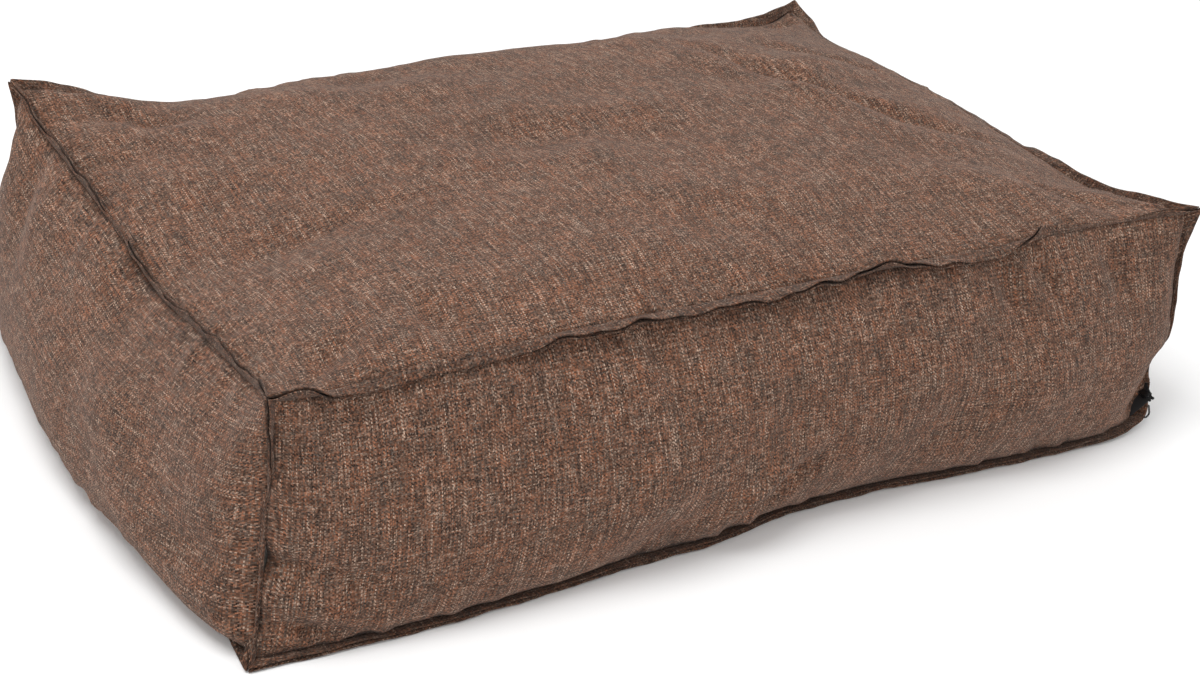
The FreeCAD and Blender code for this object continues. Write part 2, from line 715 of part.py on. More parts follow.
def make_slider():
    body = new_body("zip_slider")
    half, long_half = "Sheet.slider_half_width", "(Sheet.slider_length / 2)"
    wing = [("-%s" % half, "-%s * 0.5" % long_half), ("-%s * 0.8" % half, "-%s" % long_half),
            ("%s * 0.8" % half, "-%s" % long_half), (half, "-%s * 0.5" % long_half),
            (half, "%s * 0.3" % long_half), ("%s * 0.7" % half, long_half),
            ("-%s * 0.7" % half, long_half), ("-%s" % half, "%s * 0.3" % long_half)]
    outer = new_sketch(body, "outer_wing", "XY_Plane", "-Sheet.channel_low")
    draw_polygon(outer, wing)
    pad(body, outer, "Sheet.slider_wall", backwards=True)
    # the post divides the two rows at the leading end and carries the inner wing
    post = new_sketch(body, "post", "XY_Plane", "-Sheet.channel_low")
    post_half = "Sheet.post_half_width"
    draw_polygon(post, [("-" + post_half, "-%s * 0.9" % long_half),
                        (post_half, "-%s * 0.9" % long_half),
                        (post_half, "-%s * 0.1" % long_half),
                        ("-" + post_half, "-%s * 0.1" % long_half)])
    pad(body, post, "Sheet.channel_low + Sheet.channel_high")
    inner = new_sketch(body, "inner_wing", "XY_Plane", "Sheet.channel_high")
    draw_polygon(inner, wing)
    pad(body, inner, "Sheet.slider_wall")
    # side walls close the channel, with a slot left for the tapes
    for side in ("", "-"):
        wall = new_sketch(body, "side_wall" + ("_left" if side else "_right"), "XY_Plane",
                          "-Sheet.channel_low")
        wall_in = "%s(%s - Sheet.slider_wall)" % (side, half)
        wall_out = "%s%s" % (side, half)
        draw_polygon(wall, [(wall_in, "-%s * 0.5" % long_half),
                            (wall_out, "-%s * 0.5" % long_half),
                            (wall_out, "%s * 0.3" % long_half),
                            (wall_in, "%s * 0.3" % long_half)])
        pad(body, wall, "Sheet.channel_low - Sheet.channel_high")
    # the bridge is an arch along the slider, seen from the side
    arch = new_sketch(body, "bridge", "YZ_Plane")
    foot = "-(Sheet.channel_low + Sheet.slider_wall)"
    under = "(%s - Sheet.bridge_gap)" % foot
    crest = "(%s - Sheet.bridge_beam)" % under
    open_half = "(Sheet.bridge_span / 2)"
    full_half = "(%s + Sheet.bridge_leg)" % open_half
    bite = "(%s + Sheet.slider_wall / 2)" % foot
    draw_polygon(arch, [("-" + full_half, bite), ("-" + full_half, under),
                        ("-" + open_half, crest), (open_half, crest), (full_half, under),
                        (full_half, bite), (open_half, bite), (open_half, under),
                        ("-" + open_half, under), ("-" + open_half, bite)])
    pad(body, arch, "2 * Sheet.bridge_half_width", symmetric=True)
    doc.recompute()
    body.Placement = slider_place()
    return keep("zip_slider", body)


def pull_axis_depth():
    """Depth of the pull's turning axis under the tapes: half way up the bridge's opening."""
    return value("channel_low") + value("slider_wall") + value("bridge_gap") / 2


def make_pull():
    """The pull hangs along -Z of the zip's frame, from an axis at its own origin."""
    body = new_body("zip_pull")
    eye, bar = "Sheet.eye_half_width", "Sheet.eye_bar"
    neck = new_sketch(body, "neck", "XZ_Plane")
    draw_polygon(neck, [("-" + eye, "0"), ("-" + eye, "-Sheet.neck_end"),
                        (eye, "-Sheet.neck_end"), (eye, "0")])
    pad(body, neck, "Sheet.pull_thick", symmetric=True)
    ring = new_sketch(body, "ring", "XZ_Plane")
    draw_stadium(ring, "Sheet.ring_half_width", "-Sheet.pull_length",
                 "(-Sheet.pull_length + Sheet.ring_length)")
    pad(body, ring, "Sheet.pull_thick", symmetric=True)
    doc.recompute()
    hole = new_sketch(body, "ring_hole", "XZ_Plane")
    draw_stadium(hole, "(Sheet.ring_half_width - Sheet.ring_wire)",
                 "(-Sheet.pull_length + Sheet.ring_wire)",
                 "(-Sheet.pull_length + Sheet.ring_length - 2 * Sheet.ring_wire)")
    pocket_through(body, hole)
    slot = new_sketch(body, "eye_hole", "XZ_Plane")
    slot_half = "Sheet.eye_hole_half_width"
    draw_polygon(slot, [("-" + slot_half, "-" + bar), ("-" + slot_half, "-Sheet.eye_depth"),
                        (slot_half, "-Sheet.eye_depth"), (slot_half, "-" + bar)])
    pocket_through(body, slot)
    # the eye's top is a round bar, which turns under the bridge
    rod = new_sketch(body, "eye_bar", "YZ_Plane")
    circle = rod.addGeometry(Part.Circle(Vector(0, 0, 0), Vector(0, 0, 1), number(bar)), False)
    rod.addConstraint(Sketcher.Constraint("Coincident", circle, 3, -1, 1))
    index = rod.addConstraint(Sketcher.Constraint("Radius", circle, number(bar)))
    rod.setExpression("Constraints[%d]" % index, bar)
    pad(body, rod, "2 * " + eye, symmetric=True)
    doc.recompute()
    body.Placement = slider_place().multiply(
        Placement(Vector(0, 0, -pull_axis_depth()), Rotation()))
    return keep("zip_pull", body)


# ---------------------------------------------------------------------------------------------
# Build, check and write
# ---------------------------------------------------------------------------------------------
make_panels()
all_threads = make_underside() + make_hanging_flanges()
stitching = doc.addObject("Part::Compound", "topstitching")
stitching.Links = all_threads
keep("topstitching", stitching)
make_inner_cushion()
make_zip_rows()
make_slider()
make_pull()
doc.recompute()

for item in doc.Objects:
    for state in ("Invalid", "Error"):
        if state in item.State:
            raise SystemExit("%s is %s" % (item.Name, state))

os.makedirs("parts", exist_ok=True)
for node, item in parts.items():
    shape = item.Shape
    if shape.isNull() or not shape.isValid():
        raise SystemExit("%s has no valid shape" % node)
    shape.exportStep("parts/%s.step" % node)
    box = shape.BoundBox
    print("%-26s %2d solids %12.1f mm3  x %.1f..%.1f  y %.1f..%.1f  z %.2f..%.2f" % (
        node, len(shape.Solids), shape.Volume,
        box.XMin, box.XMax, box.YMin, box.YMax, box.ZMin, box.ZMax))

axis_point = slider_place().multVec(Vector(0, 0, -pull_axis_depth()))
print("pull axis through", [round(c, 3) for c in axis_point])
print("pull axis along", [round(c, 5) for c in zip_frame().Rotation.multVec(Vector(1, 0, 0))])
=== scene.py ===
# %% [markdown]
# # A pet cushion bed
# This lesson builds the looks of a stuffed bed for a dog or a cat: a woven box cover with a
# flange along every seam, a zip under one end, and a filled inner cushion. The design, with
# its sizes and joints, is loaded first as a fixed frame. Every later piece stands where the
# frame says, in metres, with its object at the origin and its place in its mesh.

# %% Load the frame and read the sizes that the cover needs
import math

import bpy
import numpy as np
from mathutils import Matrix, Quaternion, Vector
from mathutils.kdtree import KDTree


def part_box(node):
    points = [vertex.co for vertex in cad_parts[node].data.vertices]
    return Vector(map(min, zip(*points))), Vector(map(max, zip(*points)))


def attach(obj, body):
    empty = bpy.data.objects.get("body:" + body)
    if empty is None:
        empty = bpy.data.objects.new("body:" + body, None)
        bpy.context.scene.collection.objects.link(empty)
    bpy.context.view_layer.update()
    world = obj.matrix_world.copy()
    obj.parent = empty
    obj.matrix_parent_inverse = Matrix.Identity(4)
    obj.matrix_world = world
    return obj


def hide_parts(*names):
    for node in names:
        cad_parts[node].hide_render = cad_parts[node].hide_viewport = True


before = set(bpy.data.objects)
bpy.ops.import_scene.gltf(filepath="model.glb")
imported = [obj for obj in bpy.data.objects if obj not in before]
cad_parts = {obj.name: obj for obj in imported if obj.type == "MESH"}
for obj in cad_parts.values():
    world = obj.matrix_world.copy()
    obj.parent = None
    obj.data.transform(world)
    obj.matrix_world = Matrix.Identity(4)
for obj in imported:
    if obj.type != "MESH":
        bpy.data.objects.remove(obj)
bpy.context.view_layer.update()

flange = 0.011
reach = flange * math.sqrt(0.5)
right_tip, back_tip = (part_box("flange_top_" + side)[1] for side in ("right", "back"))
ear = np.array((right_tip[0], back_tip[1], right_tip[2])) - reach
foot = np.array((-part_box("flange_bottom_left")[0][0] - flange, 0.345, 0.0034))
lowest_cloth = 0.0022

# %% [markdown]
# ## Camera, floor and light
# The bed stands in a bright white studio. A white world lights it from everywhere, the pale
# floor throws light back under the bellies, and one soft lamp hangs above the bed's -X end.
# The camera is placed by its direction and distance from a point that it looks at.

# %% Camera
aim = Vector((-0.0551, -0.1245, 0.095))
azimuth, elevation, roll = (math.radians(angle) for angle in (-32.9, 27.7, 5.6))
backwards = Vector((
    math.sin(azimuth) * math.cos(elevation),
    -math.cos(azimuth) * math.cos(elevation),
    math.sin(elevation)))
camera_data = bpy.data.cameras.new("camera")
camera_data.lens = 58.4
camera = bpy.data.objects.new("camera", camera_data)
bpy.context.collection.objects.link(camera)
turn = backwards.to_track_quat("Z", "Y") @ Quaternion((0, 0, 1), roll)
camera.matrix_world = Matrix.Translation(aim + backwards * 1.8525) @ turn.to_matrix().to_4x4()
bpy.context.scene.camera = camera
bpy.context.scene.view_settings.view_transform = "Standard"
print("camera at", tuple(round(part, 3) for part in camera.location))

# %% Helpers for materials: one call adds a node, sets it up and connects it
def place(tree, kind, sockets, **settings):
    """Add a node. Each socket gets a plain value or another node's output."""
    made = tree.nodes.new("ShaderNode" + kind)
    for name, value in settings.items():
        setattr(made, name, value)
    for name, value in sockets.items():
        if isinstance(value, bpy.types.NodeSocket):
            tree.links.new(value, made.inputs[name])
        else:
            made.inputs[name].default_value = value
    return made.outputs[0]


def math_node(tree, operation, first, second=0.0):
    """A Math node on two values or outputs."""
    return place(tree, "Math", {0: first, 1: second}, operation=operation)


def ramp(tree, value, low, high, to_low=0.0, to_high=1.0):
    """Map low..high to to_low..to_high, held at both ends."""
    return place(tree, "MapRange", {
        "Value": value, "From Min": low, "From Max": high, "To Min": to_low, "To Max": to_high})


def mix_colours(tree, factor, first, second, blend="MIX"):
    """Mix two colours."""
    sockets = {0: factor, 6: first, 7: second}
    return place(tree, "Mix", sockets, data_type="RGBA", blend_type=blend).node.outputs[2]


def grey(tree, value):
    """A colour whose three parts are one value, for multiplying."""
    return place(tree, "CombineColor", {0: value, 1: value, 2: value})


def new_material(name, roughness, **shader_values):
    """A material with its Principled shader. Even values are set on the shader's own sockets."""
    material = bpy.data.materials.new(name)
    material.use_nodes = True
    shader = material.node_tree.nodes["Principled BSDF"]
    shader.inputs["Roughness"].default_value = roughness
    for socket, value in shader_values.items():
        shader.inputs[socket.replace("_", " ")].default_value = value
    return material, material.node_tree, shader


def new_group(name, inputs, outputs):
    """An empty node group with named sockets, its input node and its output node."""
    group = bpy.data.node_groups.new(name, "ShaderNodeTree")
    for socket, (kind, value) in inputs.items():
        made = group.interface.new_socket(socket, in_out="INPUT", socket_type="NodeSocket" + kind)
        if value is not None:
            made.default_value = value
    for socket, kind in outputs.items():
        group.interface.new_socket(socket, in_out="OUTPUT", socket_type="NodeSocket" + kind)
    return group, group.nodes.new("NodeGroupInput").outputs, group.nodes.new("NodeGroupOutput").inputs


def use_group(tree, group, sockets):
    """Place a node group in a material and give its node."""
    made = tree.nodes.new("ShaderNodeGroup")
    made.node_tree = group
    for name, value in sockets.items():
        if isinstance(value, bpy.types.NodeSocket):
            tree.links.new(value, made.inputs[name])
        else:
            made.inputs[name].default_value = value
    return made


# %% Floor and lamps
floor_material, floor_tree, floor_shader = new_material("studio floor", 0.9)
speckle = place(floor_tree, "TexNoise", {"Scale": 40.0})
floor_shade = ramp(floor_tree, speckle, 0.3, 0.7, 0.0, 1.0)
floor_tree.links.new(
    mix_colours(floor_tree, floor_shade, (0.93, 0.93, 0.93, 1), (0.95, 0.95, 0.95, 1)),
    floor_shader.inputs["Base Color"])
bpy.ops.object.select_all(action="DESELECT")
bpy.ops.mesh.primitive_plane_add(size=14, location=(0, 0, 0))
floor = bpy.context.object
floor.name = "studio_floor"
floor.data.materials.append(floor_material)

world = bpy.data.worlds.new("studio")
bpy.context.scene.world = world
world.use_nodes = True
world.node_tree.nodes["Background"].inputs["Color"].default_value = (1, 1, 1, 1)
world.node_tree.nodes["Background"].inputs["Strength"].default_value = 0.97


def add_lamp(name, place_at, size, power):
    """A square soft lamp that looks at the bed."""
    lamp = bpy.data.lights.new(name, "AREA")
    lamp.energy, lamp.size = power, size
    holder = bpy.data.objects.new(name, lamp)
    bpy.context.collection.objects.link(holder)
    look = Vector(place_at)
    holder.matrix_world = Matrix.Translation(look) @ look.to_track_quat("Z", "Y").to_matrix().to_4x4()
    return holder


add_lamp("softbox", (-0.9, -0.3, 2.6), 1.4, 34)
print("stage ready")

# %% [markdown]
# ## The cloth
# The cover is a melange weave: every yarn changes along its length from brown to rust, grey
# blue and a pale slub. An image of cloth could be wrapped round the bed, but a pattern worked
# out from the yarns stays sharp at any distance. Each panel's UV map is in metres, so one
# group of nodes gives the same yarns on every panel.

# %% Node group: a twill of changing yarns
weave, given, result = new_group(
    "melange twill",
    {"Vector": ("Vector", None), "Yarns per metre": ("Float", 1600.0),
     "Ground": ("Color", (0.2, 0.12, 0.09, 1)), "Rust": ("Color", (0.3, 0.12, 0.07, 1)),
     "Slate": ("Color", (0.13, 0.12, 0.12, 1)), "Slub": ("Color", (0.42, 0.33, 0.28, 1)),
     "Shade": ("Color", (0.06, 0.035, 0.028, 1))},
    {"Color": "Color", "Height": "Float"})
yarn_scale = {0: given["Vector"], "Scale": given["Yarns per metre"]}
in_yarns = place(weave, "VectorMath", yarn_scale, operation="SCALE")
split = place(weave, "SeparateXYZ", {0: in_yarns}).node
across, along = split.outputs[0], split.outputs[1]
yarn_across = math_node(weave, "FLOOR", across)
yarn_along = math_node(weave, "FLOOR", along)
stepped = math_node(weave, "FLOORED_MODULO", math_node(weave, "ADD", yarn_across, yarn_along), 4.0)
over = math_node(weave, "GREATER_THAN", stepped, 1.5)


def yarn_colour(steady, running, spacing, frequency, offset):
    """Colour channels that differ from yarn to yarn and change slowly along one yarn."""
    row = math_node(weave, "MULTIPLY_ADD", steady, spacing)
    row.node.inputs[2].default_value = offset
    run = math_node(weave, "MULTIPLY", running, frequency)
    where = place(weave, "CombineXYZ", {0: row, 1: run})
    return place(weave, "TexNoise", {"Vector": where, "Scale": 1.0, "Detail": 2.0, "Roughness": 0.75},
                 noise_dimensions="2D").node.outputs[1]


warp = yarn_colour(yarn_across, along, 1.37, 0.024, 0.0)
weft = yarn_colour(yarn_along, across, 1.61, 0.050, 91.7)
parts = place(weave, "SeparateColor", {0: mix_colours(weave, over, warp, weft)}).node
patches = place(weave, "TexNoise", {"Vector": given["Vector"], "Scale": 34.0, "Detail": 2.0})
rusty = math_node(weave, "ADD", parts.outputs[0], math_node(weave, "MULTIPLY", patches, 0.25))
colour = mix_colours(weave, ramp(weave, rusty, 0.57, 0.74), given["Ground"], given["Rust"])
colour = mix_colours(weave, ramp(weave, parts.outputs[1], 0.52, 0.66, 0.0, 0.8), colour, given["Slate"])
colour = mix_colours(weave, ramp(weave, parts.outputs[2], 0.55, 0.74), colour, given["Slub"])
colour = mix_colours(weave, ramp(weave, parts.outputs[2], 0.45, 0.28), colour, given["Shade"])


def rounded(yarns):
    """The round top of a yarn: 0 at its edges and 1 along its middle."""
    turn_over = math_node(weave, "MULTIPLY", math_node(weave, "FRACT", yarns), math.pi)
    return math_node(weave, "SINE", turn_over)


round_across, round_along = rounded(across), rounded(along)
height = place(weave, "Mix", {0: over, 2: round_across, 3: round_along}).node.outputs[0]
crossing = place(weave, "CombineXYZ", {0: yarn_across, 1: yarn_along})
pairs = place(weave, "VectorMath", {0: crossing, 1: (0.5, 0.5, 0.5)}, operation="MULTIPLY")
knot = place(weave, "VectorMath", {0: pairs}, operation="FLOOR")
grain = place(weave, "TexWhiteNoise", {"Vector": knot}, noise_dimensions="2D")
speck = ramp(weave, grain, 0, 1, 0.45, 1.6)
colour = mix_colours(weave, 1.0, colour, grey(weave, speck), "MULTIPLY")
# Painted shade: each yarn is darker towards its edges, in the grooves between yarns. Where the weft shows,
# its colour is also made darker than the warp's.
edge_shade = ramp(weave, height, 0.0, 1.0, 0.72, 1.08)
sunk = math_node(weave, "MULTIPLY", edge_shade, ramp(weave, over, 0, 1, 1.12, 0.86))
colour = mix_colours(weave, 1.0, colour, grey(weave, sunk), "MULTIPLY")
weave.links.new(colour, result["Color"])
weave.links.new(height, result["Height"])

# %% Node group: slow changes of tone, as cloth has from handling and from its fibres' lie
tone, given, result = new_group(
    "handled tone",
    {"Vector": ("Vector", None), "Color": ("Color", (1, 1, 1, 1)), "Amount": ("Float", 0.2)},
    {"Color": "Color"})
slow = place(tone, "TexNoise", {"Vector": given["Vector"], "Scale": 6.0, "Detail": 3.0})
patchy = place(tone, "TexNoise", {"Vector": given["Vector"], "Scale": 38.0, "Detail": 2.0})
both = math_node(tone, "ADD", slow, patchy)
light = math_node(tone, "MULTIPLY", math_node(tone, "SUBTRACT", both, 1.0), given["Amount"])
bright = math_node(tone, "ADD", light, 1.0)
lit = mix_colours(tone, 1.0, given["Color"], grey(tone, bright), "MULTIPLY")
tone.links.new(lit, result["Color"])


def woven_material(name, brightness):
    """The cover's cloth with all its colours scaled by brightness; a low brightness paints shade into it."""
    material, tree, shader = new_material(name, 0.88, Sheen_Weight=0.08, Sheen_Roughness=0.55)
    shader.inputs["Sheen Tint"].default_value = (1.0, 0.93, 0.88, 1)
    shader.inputs["Specular IOR Level"].default_value = 0.12
    uv = place(tree, "UVMap", {}, uv_map="UVMap")

    def tint(red, green, blue):
        return (red * brightness, green * brightness, blue * brightness, 1)

    cloth = use_group(tree, weave, {
        "Vector": uv, "Yarns per metre": 1150.0, "Ground": tint(0.135, 0.075, 0.050),
        "Rust": tint(0.260, 0.105, 0.056), "Slate": tint(0.100, 0.083, 0.071),
        "Slub": tint(0.460, 0.330, 0.250), "Shade": tint(0.020, 0.012, 0.009)})
    handled = use_group(tree, tone, {"Vector": uv, "Color": cloth.outputs["Color"], "Amount": 0.35})
    tree.links.new(handled.outputs["Color"], shader.inputs["Base Color"])
    bump = place(tree, "Bump", {"Strength": 0.55, "Distance": 0.00025, "Height": cloth.outputs["Height"]})
    tree.links.new(bump, shader.inputs["Normal"])
    return material


cover_cloth = woven_material("melange cover cloth", 0.79)
# The flanges get the same weave made darker: painted shade for the narrow folds between their lips and the
# panels.
flange_cloth_with_painted_shade = woven_material("melange flange cloth", 0.58)
print("cloth ready:", cover_cloth.name)

# %% [markdown]
# ## Where the seams run
# A stuffed cover keeps its corners high, because three layers of flange meet there, while
# the seams between them sag. Each of the twelve seams starts as a straight line between two
# corners and is then pushed inwards and down by a few chosen amounts, joined smoothly.

# %% Helpers for smooth lines
def through(points, t):
    """A smooth curve through chosen (place, amount) pairs, read at t."""
    at, amount = np.array(points, float).T
    slope = np.gradient(amount, at)
    i = np.clip(np.searchsorted(at, t) - 1, 0, len(at) - 2)
    gap = at[i + 1] - at[i]
    u = (t - at[i]) / gap
    return (amount[i] * (1 + 2 * u) * (1 - u) ** 2 + amount[i + 1] * u * u * (3 - 2 * u)
            + gap * slope[i] * u * (1 - u) ** 2 - gap * slope[i + 1] * u * u * (1 - u))


def ripple(run, *waves):
    """A gentle wobble along a length: each wave is (wavelength, amount, phase)."""
    return sum(amount * np.sin(2 * math.pi * run / length + phase) for length, amount, phase in waves)


rise_start, rise_end, rise_radius, zip_slope = 0.350, 0.4604, 0.2326, math.tan(math.radians(20))


def underside(x):
    """Height of the cover's underside: on the floor, then curving up to the zip."""
    curved = np.clip(x, rise_start, rise_end) - rise_start
    return rise_radius - np.sqrt(rise_radius ** 2 - curved ** 2) + np.maximum(x - rise_end, 0) * zip_slope


def edge_lift(x):
    """Near the long seams the cloth hangs nearly to the floor, and lifts only at the foot."""
    return 0.25 + 0.75 * np.clip((x - 0.462) / 0.025, 0, 1) ** 2


ear_shift = {
    (1, -1): (0.009, -0.002, 0.007), (-1, 1): (-0.004, 0.002, 0.003), (-1, -1): (0, 0, -0.003)}


zip_foot = np.array((foot[0], -foot[1], foot[2] + underside(foot[0])))
pinch_by, pinch_size = np.array((-0.008, 0.020, 0.0)), 0.045


def pinch(points):
    """Draw the foot at the zip's closed end in, so that the slider stands clear of the cloth."""
    away = np.linalg.norm(points - zip_foot, axis=-1, keepdims=True)
    return pinch_by * np.exp(-(away / pinch_size) ** 2)


def corner(side_x, side_y, high):
    """The middle of a corner: an ear on top or a foot on the floor."""
    point = (ear if high else foot) * (side_x, side_y, 1)
    if high:
        return point + ear_shift.get((side_x, side_y), (0, 0, 0))
    point[2] += underside(point[0])
    return point


def straight(start, end, t):
    """Points of a straight line."""
    return start + (end - start) * np.asarray(t)[:, None]


# %% The twelve seams, each a function of t from 0 to 1
top_push = {
    "front": ((0, 0), (0.05, 0.013), (0.2, 0.020), (0.5, 0.021), (0.8, 0.018), (0.95, 0.012), (1, 0)),
    "back": ((0, 0), (0.05, 0.012), (0.2, 0.019), (0.5, 0.021), (0.8, 0.019), (0.95, 0.012), (1, 0)),
    "left": ((0, 0), (0.08, 0.008), (0.25, 0.012), (0.5, 0.013), (0.8, 0.010), (1, 0)),
    "right": ((0, 0), (0.07, 0.008), (0.25, 0.013), (0.5, 0.012), (0.8, 0.010), (1, 0))}
top_sag = {
    "front": ((0, 0), (0.04, 0.010), (0.15, 0.008), (0.5, 0.006), (0.85, 0.006), (0.95, 0.004), (1, 0)),
    "back": ((0, 0), (0.04, 0.004), (0.08, 0.012), (0.13, 0.024), (0.3, 0.024), (0.5, 0.019),
             (0.8, 0.012), (0.95, 0.009), (1, 0)),
    "left": ((0, 0), (0.08, 0.019), (0.26, 0.037), (0.45, 0.053), (0.58, 0.044), (0.83, 0.031),
             (0.93, 0.020), (1, 0)),
    "right": ((0, 0), (0.08, 0.010), (0.17, 0.020), (0.30, 0.016), (0.5, 0.009), (0.73, 0.008),
              (0.93, 0.010), (1, 0))}
floor_push = {
    "front": ((0, 0), (0.07, -0.004), (0.16, -0.006), (0.28, -0.001), (0.365, 0.004), (0.44, 0.005),
              (0.50, 0.016), (0.63, 0.020), (0.74, 0.011), (0.86, 0.005), (1, 0)),
    "back": ((0, 0), (0.15, -0.004), (0.3, 0.010), (0.45, 0.002), (0.6, 0.014), (0.8, 0.003), (1, 0)),
    "left": ((0, 0), (0.2, 0.010), (0.45, 0.004), (0.7, 0.013), (0.9, 0.002), (1, 0)),
    "right": ((0, 0), (1, 0))}
sides = {"front": (0, -1), "back": (0, 1), "left": (-1, 0), "right": (1, 0)}
zip_dip = 0.003


def ends(side):
    """The two corners of a side, from -X to +X or from -Y to +Y."""
    x, y = sides[side]
    return ((x or -1, y or -1), (x or 1, y or 1))


def top_seam(side, t):
    """The seam between the top and one wall."""
    first, second = (corner(*end, True) for end in ends(side))
    inwards = -np.array((*sides[side], 0.0))
    line = straight(first, second, t) + inwards * through(top_push[side], t)[:, None]
    line[:, 2] -= through(top_sag[side], t)
    return line


def floor_seam(side, t):
    """The lower edge of one wall."""
    first, second = (corner(*end, False) for end in ends(side))
    inwards = -np.array((*sides[side], 0.0))
    line = straight(first, second, t) + inwards * through(floor_push[side], t)[:, None]
    if side in ("front", "back"):
        line[:, 2] = foot[2] + underside(line[:, 0]) * edge_lift(line[:, 0])
    if side == "right":
        line[:, 2] -= zip_dip * 4 * t * (1 - t)
    return line + pinch(line)


corner_bow = {
    (-1, -1): (0.006, 0.010), (1, -1): (0.002, 0.012), (-1, 1): (0.003, 0.008), (1, 1): (0.010, 0.010)}
zip_end_bow = ((0, 0), (0.08, -0.010), (0.2, -0.002), (0.4, 0.008), (0.7, 0.005), (1, 0))


def corner_seam(side_x, side_y, t):
    """An upright seam, from a foot up to its ear."""
    line = straight(corner(side_x, side_y, False), corner(side_x, side_y, True), t)
    bow = np.array((*corner_bow[side_x, side_y], 0.0)) * (-side_x, -side_y, 0)
    line += bow * (4 * t * (1 - t))[:, None]
    if (side_x, side_y) == (1, -1):
        line[:, 0] += through(zip_end_bow, t)
    return line + pinch(line)


print("seams sag to", round(float(top_seam("left", np.linspace(0, 1, 50))[:, 2].min()), 3))

# %% [markdown]
# ## The blank of the cover
# Five panels stand in one mesh while they are shaped, so that the cloth is free to find its
# own folds across them: the top and the four walls. Each one starts as a flat grid added by
# an operator, its UV map is stretched to metres, and its points are laid on the surface that
# its four seams span, bulged by the filling. The underside is separate, for it lies flat.

# %% Helpers for panels
def patch(low, high, left, right, s, t):
    """Points of the surface that four edge curves span, at s across and t up."""
    s1, t1 = s[:, None], t[:, None]
    zero, one = np.zeros(1), np.ones(1)
    return (low(s) * (1 - t1) + high(s) * t1 + left(t) * (1 - s1) + right(t) * s1
            - low(zero) * ((1 - s1) * (1 - t1)) - low(one) * (s1 * (1 - t1))
            - high(zero) * ((1 - s1) * t1) - high(one) * (s1 * t1))


def add_grid(name, count, size, turned=False):
    """A grid of count squares with its UV map in metres. It gives the object and s, t of its points."""
    bpy.ops.object.select_all(action="DESELECT")
    bpy.ops.mesh.primitive_grid_add(x_subdivisions=count[0], y_subdivisions=count[1], size=1)
    grid = bpy.context.object
    grid.name = name
    uv = grid.data.uv_layers[0]
    flat = np.empty(len(uv.data) * 2)
    uv.data.foreach_get("uv", flat)
    flat = flat.reshape(-1, 2) * size
    uv.data.foreach_set("uv", (flat[:, ::-1] if turned else flat).ravel())
    points = read_points(grid)
    return grid, points[:, 0] + 0.5, points[:, 1] + 0.5


def read_points(thing):
    """The vertices of a mesh object as an array."""
    flat = np.empty(len(thing.data.vertices) * 3)
    thing.data.vertices.foreach_get("co", flat)
    return flat.reshape(-1, 3)


def write_points(thing, points):
    """Move the vertices of a mesh object."""
    thing.data.vertices.foreach_set("co", np.ascontiguousarray(points).ravel())
    thing.data.update()


def finish_modifier(thing, kind, **settings):
    """Add a modifier, set it and apply it."""
    bpy.ops.object.select_all(action="DESELECT")
    bpy.context.view_layer.objects.active = thing
    thing.select_set(True)
    modifier = thing.modifiers.new(kind.title(), kind)
    for name, value in settings.items():
        setattr(modifier, name, value)
    bpy.ops.object.modifier_apply(modifier=modifier.name)


def finish_piece(piece, node, material, body="root", smooth=True):
    """Give a piece its shading and material, hang it on its body and hide the part of the frame that it
    stands for.
    """
    if smooth:
        piece.data.polygons.foreach_set("use_smooth", [True] * len(piece.data.polygons))
    piece.data.materials.clear()
    piece.data.materials.append(material)
    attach(piece, body)
    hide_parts(node)


squares = {"long": 80, "short": 56, "tall": 20}
cut = {"long": 1.00, "short": 0.70, "tall": 0.25}
panel_sides = {
    "front_panel": ("long", "tall"), "back_panel": ("long", "tall"),
    "left_panel": ("short", "tall"), "right_panel": ("short", "tall"),
    "top_panel": ("long", "short"), "bottom_panel": ("long", "short")}


def cut_size(name):
    """The width and length that a panel is cut to."""
    return tuple(cut[side] for side in panel_sides[name])


def bulge_wall(s, t, depth, lean, fullness, squareness):
    """How far the filling pushes a wall out. A small lean brings the belly near the floor."""
    level = t ** lean
    return depth * (4 * s * (1 - s)) ** squareness * (4 * level * (1 - level)) ** fullness


def bulge_top(s, t, depth):
    """How far the filling pushes the top up: steep at the seams, then a broad crown."""
    return depth * (4 * s * (1 - s)) ** 0.46 * (4 * t * (1 - t)) ** (0.54 - 0.20 * t)


# %% The five panels as one mesh
wall_bulge = {
    "front": (0.042, 0.74, 0.62, 0.36), "back": (0.042, 0.74, 0.62, 0.36),
    "left": (0.074, 0.50, 0.55, 0.45), "right": (0.046, 0.70, 0.6, 0.62)}
crown = 0.056
spare_reach = 0.09
blank_parts = []
for side, bulge in wall_bulge.items():
    long_side = side in ("front", "back")
    across_name = "long" if long_side else "short"
    grid, s, t = add_grid(side + "_panel_cloth", (squares[across_name], squares["tall"]),
                          (cut[across_name], cut["tall"]), turned=not long_side)
    first, second = ends(side)
    points = patch(
        lambda a: floor_seam(side, a), lambda a: top_seam(side, a),
        lambda a: corner_seam(*first, a), lambda a: corner_seam(*second, a), s, t)
    outwards = np.array((*sides[side], 0.0))
    write_points(grid, points + outwards * bulge_wall(s, t, *bulge)[:, None])
    blank_parts.append((grid, s, t))
grid, s, t = add_grid("top_panel_cloth", (squares["long"], squares["short"]), (cut["long"], cut["short"]))
points = patch(
    lambda a: top_seam("front", a), lambda a: top_seam("back", a),
    lambda a: top_seam("left", a), lambda a: top_seam("right", a), s, t)
points[:, 2] += bulge_top(s, t, crown)
write_points(grid, points)
blank_parts.append((grid, s, t))

